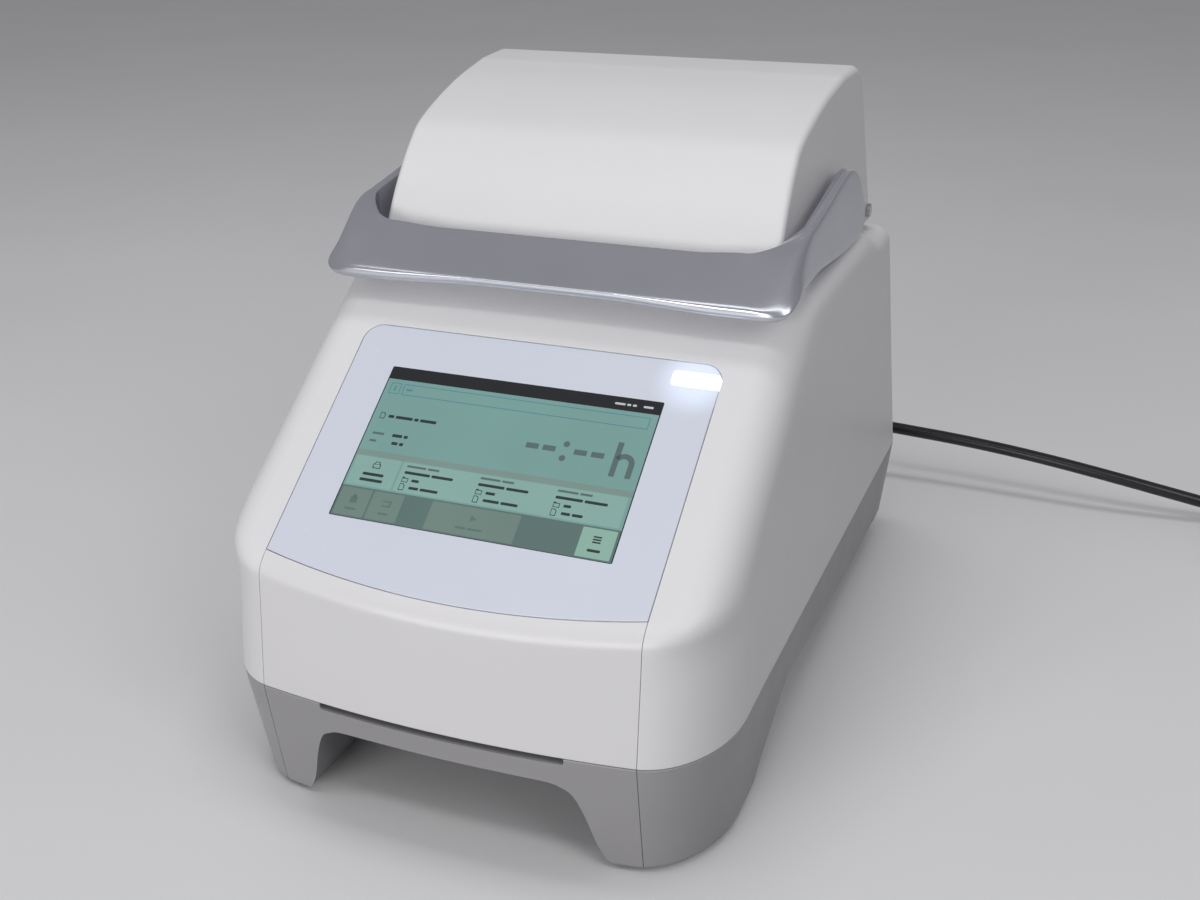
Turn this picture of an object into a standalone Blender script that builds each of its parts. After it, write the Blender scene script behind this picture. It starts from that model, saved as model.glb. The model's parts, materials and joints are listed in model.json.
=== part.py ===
"""Bench-top thermal cycler: sloping display, hinged heated lid with a swing handle, mains lead.

Lengths in this file are millimetres and become metres where a mesh is made.
+X is the viewer's right, the display faces -Y, +Z is up and the bench is at Z = 0.
"""
import math

import bmesh
import bpy
from mathutils import Matrix, Vector

MM = 0.001
GAP = 0.3            # clearance between neighbouring pieces
WALL = 3.0           # thickness of the moulded shells

# Housing: white upper shell
SPLIT_Z = 66.8       # joint between the white housing and the grey base
FRONT_Y = -215.0
REAR_Y = 215.0
HALF_WIDTH = 133.5   # at the split, beside the front corners
REAR_FLARE = 4.0     # extra half width at the rear of the split
SIDE_DRAFT = 0.021   # the sides lean in by this much per unit of height
FRONT_BULGE_R = 689.0
FRONT_LEAN = math.tan(math.radians(6.25))
REAR_LEAN = math.tan(math.radians(14.7))
DECK_Z = 239.0
DECK_EDGE_R = 10.0
DECK_DROP = 10.0     # the deck falls this much behind the block, for the hinge
DECK_DROP_Y = (96.0, 132.0)
LOWER_CORNER = (37.0, 50.0)   # plan radii of the front corners, across and along
SLOPE_CORNER = (22.0, 38.0)   # the same beside the display
CORNER_CHANGE_Z = (112.0, 150.0)
REAR_CORNER_R = 14.0
BEND_REACH = 7.0     # rounding between the front face and the slope

# Display slope
SLOPE_ANGLE = math.radians(35.4)
SLOPE_Y = -193.4
SLOPE_Z = 136.0
GLASS_HALF = 97.8
GLASS_LENGTH = 137.3
GLASS_SAG = 10.5     # the lower edge of the glass bows forward with the front panel
GLASS_CORNER_R = 10.0
GLASS_THICK = 3.0
GLASS_PROUD = 0.2
SEAM_X = 98.0        # the two vertical seams beside the front panel

# Base: grey lower shell
BASE_Z = 2.3
BASE_REAR_RISE = 14.7   # the underside climbs this much towards the rear
BASE_RISE_Y = (-60.0, 100.0)
BASE_FRONT_TUCK = 10.0
BASE_SIDE_TUCK = 4.5
BASE_REAR_TUCK = 10.0
BASE_EDGE = 3.0
ARCH_TOP_Z = 51.4
FRONT_LEG_REAR_Y = -112.0
REAR_FLOOR_Y = 176.0
GROOVE_HALF = 64.0   # finger groove under the front panel
GROOVE_DEPTH = 3.5

# Lid
LID_SIDE = (127.8, 0.0374, -0.0602)   # half width at the origin, its growth to the rear and upwards
LID_TOP_Z = 330.0
LID_FRONT_FOOT = (-42.0, 243.0)
LID_FOOT = ((155.0, 234.4), (132.0, 234.4), (94.0, 240.3))   # rear foot, and the lower edge forward of it
LID_EDGE_R = 3.5      # rounding of the side edges, along the front and top
LID_REAR_EDGE_R = 5.0
LID_REAR_TOP_R = 20.0
HINGE = (145.5, 241.0)       # lid hinge axis, Y and Z
HINGE_PIN_R = 2.5
HINGE_HEAD_R = 4.0
BRACKET_X = (88.0, 96.0)     # the hinge brackets' lugs, each side of the middle

# Handle
HANDLE_HALF = 127.0
ARM_INNER = 119.5
HANDLE_AXIS = (86.0, 254.0)
HANDLE_PIN_R = 4.0
HANDLE_CORNER = (97.5, -25.5)   # middle of the bend between arm and bar, X and Y
LIP_DIP = 2.4                   # the bar's lip hangs lower at the two corners
LIP_FLARE = 2.5                 # and stands out sideways there
LIP_LEAD = 0.25                 # in the bend the lip comes down to the bar's height this much sooner
CREST_RISE = 1.6                # the bar's top edge starts to rise before the bend
ARM_TOP = ((-42.0, 268.2), (-26.0, 272.6), (0.0, 276.4), (30.0, 281.2), (50.0, 283.6), (62.0, 282.4),
           (73.0, 278.9), (83.0, 273.2), (91.0, 265.6), (96.5, 257.3), (98.6, 251.0))
ARM_LOW = ((-60.0, 243.2), (-44.0, 246.4), (-23.0, 248.0), (-1.0, 246.6), (23.0, 244.2), (46.0, 242.2),
           (70.0, 241.0), (84.0, 240.9), (92.0, 242.6), (96.8, 246.0), (98.6, 251.0))
# Section of the bar in Y and Z, with how squarely each of its points goes round the bend
BAR_SECTION = ((-51.4, 261.4, 1.2), (-52.5, 261.9, 1.1), (-64.0, 254.3, 0.75), (-76.4, 246.4, 0.5),
               (-77.9, 244.4, 0.34), (-77.6, 242.0, 0.32), (-75.5, 240.2, 0.32), (-72.0, 239.8, 0.34),
               (-69.0, 241.4, 0.45), (-58.0, 248.6, 0.8), (-49.5, 254.6, 1.2), (-49.8, 258.8, 1.2))
LIP_SHARE = (0.0, 0.0, 0.0, 0.35, 1.0, 1.0, 0.9, 0.8, 0.6, 0.0, 0.0, 0.0)
CREST_SHARE = (1.0, 1.0, 0.5, 0.0, 0.0, 0.0, 0.0, 0.0, 0.0, 0.5, 1.0, 1.0)

# Block and lid heater
BLOCK_Y = 52.0
BLOCK_HALF = (63.5, 42.5)
BLOCK_Z = (205.0, 231.0)
WELL_PITCH = 9.0
WELL_ROWS = 8
WELL_COLUMNS = 12
WELL_TOP_R = 3.3
WELL_LOW_R = 1.6
WELL_DEPTH = 17.0
HEATED_PLATE_Z = (242.0, 249.0)
TRAY_Z = (244.0, 247.0)
PRESSURE_PLATE_Z = (262.0, 265.0)
LATCH_AXIS = (-22.0, 252.0)

# Rear connectors, on a vertical panel set back in the base
PANEL_Y = 196.0
PANEL_X = (-36.0, 106.0)
PANEL_Z = (21.5, 64.5)
CONNECTOR_Z = 44.0
INLET_X = 80.0
FUSE_X = 52.0
SWITCH_X = 27.0
NETWORK_X = 2.0
USB_X = -20.0
SWITCH_TILT = math.radians(8.0)

# Mains lead
CORD_D = 8.4
CONNECTOR_REAR_Y = 226.0
RELIEF_LENGTH = 28.0
CORD_ROUTE = (
    (80.0, 254.3, 44.0), (80.3, 260.0, 44.0), (82.0, 266.6, 43.8), (85.6, 273.6, 43.5), (91.0, 280.0, 43.1),
    (98.0, 285.2, 42.6), (106.5, 288.7, 42.1), (118.0, 290.2, 41.4), (140.0, 290.0, 40.4),
    (165.0, 289.6, 39.2), (190.0, 288.8, 37.6), (215.0, 287.6, 35.7), (240.0, 286.4, 33.2),
    (265.0, 285.8, 30.0), (290.0, 286.4, 26.0), (315.0, 288.4, 21.2), (340.0, 291.8, 15.8),
    (362.0, 295.6, 10.8), (382.0, 298.6, 7.4), (397.0, 300.0, 6.1), (410.0, 300.2, 6.0),
)
CORD_STEP = 20.0
COIL_TURNS = 5.25
COIL_PITCH = 8.95    # from one turn to the next, beside and above
COIL_OUTER_R = 56.0
COIL_LOOP_POINTS = 24
COIL_LOW_Z = 6.0
COIL_TAIL = 32.0     # straight stretch from the coil to the plug
COIL_TIE_ANGLE = math.radians(215.0)
PLUG_LENGTH = 38.0

# Colour, roughness and metallic value of each finish
FINISHES = {
    "white": ((0.80, 0.80, 0.82), 0.42, 0.0),
    "panel_white": ((0.77, 0.77, 0.79), 0.38, 0.0),
    "base_grey": ((0.33, 0.33, 0.345), 0.45, 0.0),
    "silver": ((0.42, 0.43, 0.46), 0.34, 0.6),
    "glass": ((0.72, 0.78, 0.88), 0.12, 0.0),
    "screen": ((0.30, 0.38, 0.40), 0.25, 0.0),
    "light": ((0.85, 0.93, 1.0), 0.20, 0.0),
    "board": ((0.05, 0.22, 0.10), 0.55, 0.0),
    "black": ((0.03, 0.03, 0.032), 0.50, 0.0),
    "rubber": ((0.035, 0.035, 0.035), 0.80, 0.0),
    "steel": ((0.60, 0.61, 0.62), 0.30, 1.0),
    "zinc": ((0.50, 0.51, 0.53), 0.40, 1.0),
    "block_silver": ((0.75, 0.75, 0.76), 0.25, 1.0),
    "aluminium": ((0.62, 0.63, 0.64), 0.38, 1.0),
    "ceramic": ((0.85, 0.85, 0.82), 0.60, 0.0),
    "seal": ((0.25, 0.25, 0.26), 0.85, 0.0),
    "cord": ((0.02, 0.02, 0.022), 0.35, 0.0),
}


def reset_scene():
    for obj in list(bpy.data.objects):
        bpy.data.objects.remove(obj, do_unlink=True)
    for name in ("Collection", "thermal_cycler", "cutters"):
        old = bpy.data.collections.get(name)
        if old:
            bpy.data.collections.remove(old)
    made = []
    for name in ("thermal_cycler", "cutters"):
        collection = bpy.data.collections.new(name)
        bpy.context.scene.collection.children.link(collection)
        made.append(collection)
    return made


PARTS, CUTTERS = reset_scene()


# Basic solids

def mm(*values):
    return Vector(values) * MM


def place(name, mesh, finish, location=(0.0, 0.0, 0.0)):
    """Make an object of a mesh: a part where it has a finish, and otherwise a cutter."""
    obj = bpy.data.objects.new(name, mesh)
    obj.location = mm(*location)
    if finish is None:
        CUTTERS.objects.link(obj)
        obj.hide_render = True
        obj.display_type = "WIRE"
        return obj
    PARTS.objects.link(obj)
    colour, roughness, metallic = FINISHES[finish]
    material = bpy.data.materials.new(name)
    material.use_nodes = True
    shader = material.node_tree.nodes["Principled BSDF"]
    shader.inputs["Base Color"].default_value = (*colour, 1.0)
    shader.inputs["Roughness"].default_value = roughness
    shader.inputs["Metallic"].default_value = metallic
    mesh.materials.append(material)
    return obj


def mesh_of(shape, name, smooth_angle=None):
    """Turn a bmesh into a mesh with its faces pointing out."""
    bmesh.ops.recalc_face_normals(shape, faces=shape.faces)
    mesh = bpy.data.meshes.new(name)
    shape.to_mesh(mesh)
    shape.free()
    if smooth_angle:
        mesh.shade_smooth()
        mesh.set_sharp_from_angle(angle=math.radians(smooth_angle))
    return mesh


def box(name, low, high, finish=None, edge=0.0):
    """Block between two corners, with its edges rounded by edge."""
    shape = bmesh.new()
    bmesh.ops.create_cube(shape, size=1.0)
    bmesh.ops.scale(shape, vec=mm(*(b - a for a, b in zip(low, high))), verts=shape.verts)
    if edge:
        bmesh.ops.bevel(shape, geom=shape.edges[:], offset=edge * MM, segments=2, profile=0.5, affect="EDGES")
    centre = [(a + b) / 2 for a, b in zip(low, high)]
    return place(name, mesh_of(shape, name), finish, centre)


def rod(name, axis, centre, radius, length, finish=None, sides=20, end_radius=None):
    """Round bar or taper along X, Y or Z, centred on a point; end_radius is at its positive end."""
    shape = bmesh.new()
    end_radius = radius if end_radius is None else end_radius
    bmesh.ops.create_cone(shape, cap_ends=True, segments=sides, radius1=radius * MM,
                          radius2=end_radius * MM, depth=length * MM)
    turn = {"X": Matrix.Rotation(math.pi / 2, 3, "Y"), "Y": Matrix.Rotation(-math.pi / 2, 3, "X"),
            "Z": Matrix.Identity(3)}[axis]
    bmesh.ops.rotate(shape, cent=(0.0, 0.0, 0.0), matrix=turn, verts=shape.verts)
    return place(name, mesh_of(shape, name, 40), finish, centre)


def prism(name, outline, plane, low, high, finish=None, hinge=None):
    """Flat outline extruded between two heights.

    The plane "xy" extrudes along Z, "yz" along X and "xz" along Y; "slope" is the display's own
    plane, with heights along its normal. A hinge point becomes the object's origin.
    """
    curve = bpy.data.curves.new(name, "CURVE")
    curve.dimensions = "2D"
    curve.fill_mode = "BOTH"
    curve.extrude = (high - low) / 2 * MM
    spline = curve.splines.new("POLY")
    spline.points.add(len(outline) - 1)
    for point, (u, v) in zip(spline.points, outline):
        point.co = (u * MM, v * MM, 0.0, 1.0)
    spline.use_cyclic_u = True
    shape = mesh_from_curve(name, curve)
    bmesh.ops.translate(shape, vec=(0.0, 0.0, (low + high) / 2 * MM), verts=shape.verts)
    bmesh.ops.transform(shape, matrix=PLANES[plane], verts=shape.verts)
    if hinge:
        bmesh.ops.translate(shape, vec=-mm(*hinge), verts=shape.verts)
    return place(name, mesh_of(shape, name, 35), finish, hinge or (0.0, 0.0, 0.0))


def mesh_from_curve(name, curve):
    """Read a curve as a welded bmesh and remove the curve."""
    holder = bpy.data.objects.new(name + "_curve", curve)
    CUTTERS.objects.link(holder)
    bpy.context.view_layer.update()
    evaluated = holder.evaluated_get(bpy.context.evaluated_depsgraph_get())
    mesh = bpy.data.meshes.new_from_object(evaluated)
    shape = bmesh.new()
    shape.from_mesh(mesh)
    bmesh.ops.remove_doubles(shape, verts=shape.verts, dist=1e-6)
    bpy.data.meshes.remove(mesh)
    bpy.data.objects.remove(holder, do_unlink=True)
    bpy.data.curves.remove(curve)
    return shape


def axes_matrix(u, v, w, origin=(0.0, 0.0, 0.0)):
    matrix = Matrix((u, v, w)).transposed().to_4x4()
    matrix.translation = mm(*origin)
    return matrix


PLANES = {
    "xy": axes_matrix((1, 0, 0), (0, 1, 0), (0, 0, 1)),
    "yz": axes_matrix((0, 1, 0), (0, 0, 1), (1, 0, 0)),
    "xz": axes_matrix((1, 0, 0), (0, 0, 1), (0, -1, 0)),
    "slope": axes_matrix((1, 0, 0), (0, math.cos(SLOPE_ANGLE), math.sin(SLOPE_ANGLE)),
                         (0, -math.sin(SLOPE_ANGLE), math.cos(SLOPE_ANGLE)), (0, SLOPE_Y, SLOPE_Z)),
}


def combine(target, tool, operation):
    modifier = target.modifiers.new(operation.lower(), "BOOLEAN")
    modifier.operation = operation
    modifier.object = tool
    modifier.solver = "EXACT"
    return target


def cut(target, *tools):
    for tool in tools:
        combine(target, tool, "DIFFERENCE")
    return target


def join(target, *tools):
    for tool in tools:
        combine(target, tool, "UNION")
    return target


def keep(target, *tools):
    for tool in tools:
        combine(target, tool, "INTERSECT")
    return target


def bake(obj):
    """Replace an object's mesh by its evaluated one, so that many cuts cost their time once."""
    bpy.context.view_layer.update()
    evaluated = obj.evaluated_get(bpy.context.evaluated_depsgraph_get())
    mesh = bpy.data.meshes.new_from_object(evaluated)
    obj.modifiers.clear()
    obj.data = mesh
    return obj


def axis_empty(name, location, parent=None):
    empty = bpy.data.objects.new(name, None)
    PARTS.objects.link(empty)
    empty.location = mm(*location)
    bpy.context.view_layer.update()
    if parent:
        attach(parent, empty)
    return empty


def attach(parent, *pieces):
    """Parent pieces without moving them."""
    bpy.context.view_layer.update()
    for piece in pieces:
        piece.parent = parent
        piece.matrix_parent_inverse = parent.matrix_world.inverted()
    bpy.context.view_layer.update()


def fade(start, end, value):
    """Smooth step from 0 at start to 1 at end."""
    t = min(max((value - start) / (end - start), 0.0), 1.0)
    return t * t * (3.0 - 2.0 * t)


def even(start, end, steps):
    return [start + (end - start) * i / steps for i in range(steps + 1)]


def arc(centre, radius, start, end, steps):
    """Points on an arc, with angles in degrees."""
    points = []
    for i in range(steps + 1):
        angle = math.radians(start + (end - start) * i / steps)
        points.append((centre[0] + radius * math.cos(angle), centre[1] + radius * math.sin(angle)))
    return points


def rounded_rectangle(low, high, radius, steps=3):
    (x0, y0), (x1, y1) = low, high
    return (arc((x1 - radius, y1 - radius), radius, 0, 90, steps)
            + arc((x0 + radius, y1 - radius), radius, 90, 180, steps)
            + arc((x0 + radius, y0 + radius), radius, 180, 270, steps)
            + arc((x1 - radius, y0 + radius), radius, 270, 360, steps))


def smooth_path(points, steps):
    """Catmull-Rom curve through points of any dimension, with steps to a stretch."""
    points = [Vector(p) for p in points]
    ends = [2 * points[0] - points[1]] + points + [2 * points[-1] - points[-2]]
    path = []
    for a, b, c, d in zip(ends, ends[1:], ends[2:], ends[3:]):
        for i in range(steps):
            t = i / steps
            path.append(0.5 * (2 * b + (c - a) * t + (2 * a - 5 * b + 4 * c - d) * t * t
                               + (3 * b - a - 3 * c + d) * t * t * t))
    path.append(points[-1])
    return path


# Lofted body

def smooth_max(a, b, reach):
    overlap = max(reach - abs(a - b), 0.0) / reach
    return max(a, b) + overlap * overlap * reach / 4.0


def housing_front(x, z):
    face = FRONT_Y + x * x / (2 * FRONT_BULGE_R) + FRONT_LEAN * (z - SPLIT_Z)
    slope = SLOPE_Y + (z - SLOPE_Z) / math.tan(SLOPE_ANGLE)
    return smooth_max(face, slope, BEND_REACH)


def side_x(y, z):
    """Half width of the body at a place along its side."""
    rise = (z - SPLIT_Z) / (DECK_Z - SPLIT_Z)
    along = min(max((y + 115.0) / 330.0, 0.0), 1.0)
    return HALF_WIDTH + REAR_FLARE * along * (1.0 - 0.6 * rise) - SIDE_DRAFT * (z - SPLIT_Z)


def plan_ring(front, side, rear, corner, rear_r, rows):
    """Closed plan outline, from the front centre round the right side to the rear and back.

    Rows are the places along the side that get a point of their own.
    """
    corner_x, corner_y = corner
    half_front = side(-115.0)
    flat = half_front - corner_x
    right = [(flat * i / 4, front(flat * i / 4)) for i in range(5)]
    for k in range(1, 7):
        angle = math.pi / 2 * k / 6
        x = flat + corner_x * math.sin(angle)
        right.append((x, front(x) + corner_y * (1.0 - math.cos(angle))))
    right += [(side(y), y) for y in rows]
    end = rear - rear_r
    for k in range(4):
        angle = math.pi / 2 * k / 3
        right.append((side(end) - rear_r * (1.0 - math.cos(angle)), end + rear_r * math.sin(angle)))
    left = [(-x, y) for x, y in reversed(right[1:])]
    return right + left


def housing_levels():
    """Heights of the housing's sections, with how far each is drawn in at the deck's rounded edge."""
    levels = [(z, 0.0) for z in (SPLIT_Z - WALL, 112, 120, 125, 129, 133, 138, 150)]
    for k in range(5):
        angle = math.pi / 2 * k / 4
        levels.append((DECK_Z - DECK_EDGE_R * (1.0 - math.sin(angle)), DECK_EDGE_R * (1.0 - math.cos(angle))))
    return levels


def housing_ring(z, inset):
    change = fade(*CORNER_CHANGE_Z, z)
    corner = [a + (b - a) * change - inset for a, b in zip(LOWER_CORNER, SLOPE_CORNER)]
    rear = REAR_Y - REAR_LEAN * (z - SPLIT_Z) - inset
    plan = plan_ring(lambda x: housing_front(x, z) + inset, lambda y: side_x(y, z) - inset, rear, corner,
                     max(REAR_CORNER_R - inset, 3.0), even(*DECK_DROP_Y, 4))
    drop = DECK_DROP * (z - SPLIT_Z) / (DECK_Z - SPLIT_Z)
    return [(x, y, z - drop * fade(*DECK_DROP_Y, y)) for x, y in plan]


def base_ring(z, inset):
    down = (SPLIT_Z - z) / (SPLIT_Z - BASE_Z)
    plan = plan_ring(lambda x: FRONT_Y + x * x / (2 * FRONT_BULGE_R) + BASE_FRONT_TUCK * down + inset,
                     lambda y: side_x(y, SPLIT_Z) - BASE_SIDE_TUCK * down - inset,
                     REAR_Y - BASE_REAR_TUCK * down - inset,
                     [r - inset for r in LOWER_CORNER], REAR_CORNER_R - min(inset, 8.0), even(*BASE_RISE_Y, 4))
    return [(x, y, z + BASE_REAR_RISE * fade(*BASE_RISE_Y, y) * max(down, 0.0)) for x, y in plan]


def base_levels(skin):
    """Sections of the base, drawn in by skin: the outer form with 0 and the hollow inside it with WALL."""
    floor = BASE_Z + skin
    top = SPLIT_Z - GAP / 2 if skin == 0 else SPLIT_Z + 10.0
    levels = [(floor, skin + BASE_EDGE), (floor + 1.2, skin + 1.4), (floor + 4.0, skin)]
    return levels + [(z, skin) for z in (25.0, 45.0)] + [(top, skin)]


def loft(name, rings, finish=None, open_low=False):
    """Skin over matching rings; the ends are closed by strips from the left side to the right."""
    shape = bmesh.new()
    loops = [[shape.verts.new(mm(*p)) for p in ring] for ring in rings]
    count = len(loops[0])
    for low, high in zip(loops, loops[1:]):
        for i in range(count):
            j = (i + 1) % count
            shape.faces.new((low[i], low[j], high[j], high[i]))
    for ring in ([loops[-1]] if open_low else [loops[0], loops[-1]]):
        row = [ring[0]]
        for i in range(1, count // 2 + 1):
            left, right = ring[-i], ring[i]
            if abs(right.co.y - row[0].co.y) < 0.01 * MM:
                row = [left] + row + [right]
            else:
                shape.faces.new(row + [right, left])
                row = [left, right]
    bmesh.ops.triangulate(shape, faces=shape.faces)
    return place(name, mesh_of(shape, name, 30), finish)


def housing_skin(name, finish):
    """Moulded shell of the white housing, open underneath."""
    skin = loft(name, [housing_ring(z, inset) for z, inset in housing_levels()], finish, open_low=True)
    add_wall(skin)
    return cut(skin, box("below_split", (-200, -300, 0), (200, 300, SPLIT_Z + GAP / 2)))


def add_wall(skin):
    solidify = skin.modifiers.new("wall", "SOLIDIFY")
    solidify.thickness = WALL * MM
    solidify.offset = -1.0
    solidify.use_even_offset = True


def glass_outline(grow):
    """Display outline in the slope's plane; its lower edge is bowed."""
    half = GLASS_HALF + grow
    top = GLASS_LENGTH + grow
    radius = GLASS_CORNER_R + grow
    lower = [(half * i / 6, -grow - GLASS_SAG * (1.0 - (i / 6) ** 2)) for i in range(-6, 7)]
    return (lower + arc((half - radius, top - radius), radius, 0, 90, 5)
            + arc((radius - half, top - radius), radius, 90, 180, 5))


def make_housing():
    """Upper housing, front panel and what closes the openings in them."""
    shell = bake(housing_skin("upper_housing", "white"))
    panel = place("front_panel", shell.data.copy(), "panel_white")
    panel.data.materials.clear()
    panel.data.materials.append(bpy.data.materials["front_panel"])
    opening = prism("display_opening", glass_outline(GAP + 0.1), "slope", -12.0, 12.0)
    panel_room = box("panel_room", (-SEAM_X - GAP / 2, -260, 40), (SEAM_X + GAP / 2, -180, 137.4))
    panel_limit = box("panel_limit", (-SEAM_X + GAP / 2, -260, SPLIT_Z), (SEAM_X - GAP / 2, -181, 137.1))
    block_hole = box("block_hole", (-72, BLOCK_Y - 50, 225), (72, BLOCK_Y + 50, 250))
    latch_hole = box("latch_hole", (-13, -36, 215), (13, -7, 250))
    cut(shell, opening, panel_room, block_hole, latch_hole, grille_room())
    cut(keep(panel, panel_limit), opening)
    bake(shell)
    bake(panel)
    return [shell, panel]


REAR_GRILLE_HALF = (84.0, 46.0)
REAR_GRILLE_Z = 140.0


def rear_matrix():
    """Plane of the leaning rear wall, with its normal pointing back."""
    lean = math.atan(REAR_LEAN)
    origin = (0.0, REAR_Y - REAR_LEAN * (REAR_GRILLE_Z - SPLIT_Z), REAR_GRILLE_Z)
    return axes_matrix((-1, 0, 0), (0, -math.sin(lean), math.cos(lean)),
                       (0, math.cos(lean), math.sin(lean)), origin)


PLANES["rear"] = rear_matrix()


def grille_room():
    width, height = REAR_GRILLE_HALF
    return prism("grille_room", rounded_rectangle((-width - GAP, -height - GAP), (width + GAP, height + GAP),
                                                  6.0 + GAP), "rear", -10.0, 10.0)


def make_rear_grille():
    width, height = REAR_GRILLE_HALF
    grille = prism("rear_grille", rounded_rectangle((-width, -height), (width, height), 6.0), "rear",
                   -WALL, 0.0, "white")
    for column in (-1, 1):
        for row in range(-4, 5):
            low = (min(column * 4.0, column * 76.0), row * 9.0 - 2.4)
            high = (max(column * 4.0, column * 76.0), row * 9.0 + 2.4)
            slot = [low, (high[0], low[1]), high, (low[0], high[1])]
            cut(grille, prism("grille_slot", slot, "rear", -9.0, 6.0))
    return [bake(grille)]


def make_display():
    """Glass cover, light guide, screen and the frame behind them."""
    under = GLASS_PROUD - GLASS_THICK
    glass = prism("display_glass", glass_outline(0.0), "slope", under, GLASS_PROUD, "glass")
    cut(glass, prism("light_room", rounded_rectangle((73.0, 123.0), (110.0, 132.0), 2.0), "slope", -8.0, 8.0))
    light = prism("status_light_guide", rounded_rectangle((73.3, 123.3), (GLASS_HALF - 0.3, 131.7), 1.8),
                  "slope", under, GLASS_PROUD, "light")
    screen = prism("lcd_module", rounded_rectangle((-80, 18), (80, 118), 2.0), "slope",
                   -9.0, under - GAP, "screen")
    frame = prism("display_frame", rounded_rectangle((-106, 8), (106, 144), 8.0), "slope", -6.6, -3.6, "zinc")
    cut(frame, prism("screen_room", rounded_rectangle((-80.5, 17.5), (80.5, 118.5), 2.0), "slope", -10.0, 0.0))
    return [bake(glass), light, screen, bake(frame)]


# Base

ARCH_HALF = ((89.0, -5.0), (89.0, BASE_Z), (84.5, 3.4), (81.0, 6.0), (76.6, 15.5), (71.8, 32.5), (66.8, 44.5),
             (61.5, 48.6), (54.0, 50.8), (30.0, ARCH_TOP_Z))
ARCH_POCKET_HALF = ((94.5, 59.5), (94.5, 8.6), (86.0, 7.6), (80.0, 17.0), (75.0, 33.8), (69.8, 46.8),
                    (63.0, 51.8),
                    (54.6, 54.0), (30.0, ARCH_TOP_Z + WALL))


def mirrored(half):
    return list(half) + [(-x, z) for x, z in reversed(half)]


def make_base():
    """Grey base: the front arch between the seams, and the tub that wraps round the rest."""
    front = loft("base_front", [base_ring(*level) for level in base_levels(0.0)], "base_grey")
    tub = place("base_tub", front.data.copy(), "base_grey")
    tub.data.materials.clear()
    tub.data.materials.append(bpy.data.materials["base_tub"])
    hollow = loft("base_hollow", [base_ring(*level) for level in base_levels(WALL)])

    arch = prism("front_arch", mirrored(ARCH_HALF), "xz", 80.0, 260.0)
    room = box("base_front_room", (-SEAM_X - GAP / 2, -260, -10), (SEAM_X + GAP / 2, FRONT_LEG_REAR_Y, 90))
    limit = box("base_front_limit", (-SEAM_X + GAP / 2, -260, -10), (SEAM_X - GAP / 2, -140, 90))
    side_outline = [(-123, -5), (-120, BASE_Z), (-115.5, 6.0), (-109, 11), (-66, 37.4), (-63, 38.8),
                    (-59, 38.9), (-12, 35), (105, 23.5), (168, 20.4), (REAR_FLOOR_Y, 18.3), (REAR_FLOOR_Y, -5)]
    side_arch = prism("side_arch", side_outline, "yz", -200.0, 200.0)
    bay = box("connector_bay", (PANEL_X[0], 190, PANEL_Z[0]), (PANEL_X[1], 240, PANEL_Z[1]))
    cut(tub, hollow, room, side_arch, bay)

    pocket = keep(prism("front_pocket", mirrored(ARCH_POCKET_HALF), "xz", 120.0, 230.0), hollow)
    groove = box("finger_groove", (-GROOVE_HALF, -260, SPLIT_Z - GROOVE_DEPTH),
                 (GROOVE_HALF, -204, SPLIT_Z + 5))
    cut(keep(front, limit), arch, bake(pocket), groove)
    return [bake(front), bake(tub), hollow]


def make_chassis():
    """Bottom plate with its air slots, and the four feet."""
    plate = prism("chassis_plate", rounded_rectangle((-121, -136), (121, 162), 24.0), "xy", 53.0, 55.0, "zinc")
    for side in (-1, 1):
        for row in range(8):
            y = BLOCK_Y - 35.0 + row * 10.0
            low, high = sorted((side * 12.0, side * 76.0))
            cut(plate, box("intake_slot", (low, y - 2.2, 45), (high, y + 2.2, 60)))
    pieces = [bake(plate)]
    for side, word in ((-1, "left"), (1, "right")):
        pieces.append(rod("foot_front_" + word, "Z", (side * 109, -160, (BASE_Z - GAP) / 2), 9.0, BASE_Z - GAP,
                          "rubber", end_radius=8.2))
        height = BASE_Z + BASE_REAR_RISE - GAP
        pieces.append(rod("foot_rear_" + word, "Z", (side * 108, 190, height / 2), 10.0, height, "rubber",
                          end_radius=8.5))
    return pieces


# Rear connectors

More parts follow.
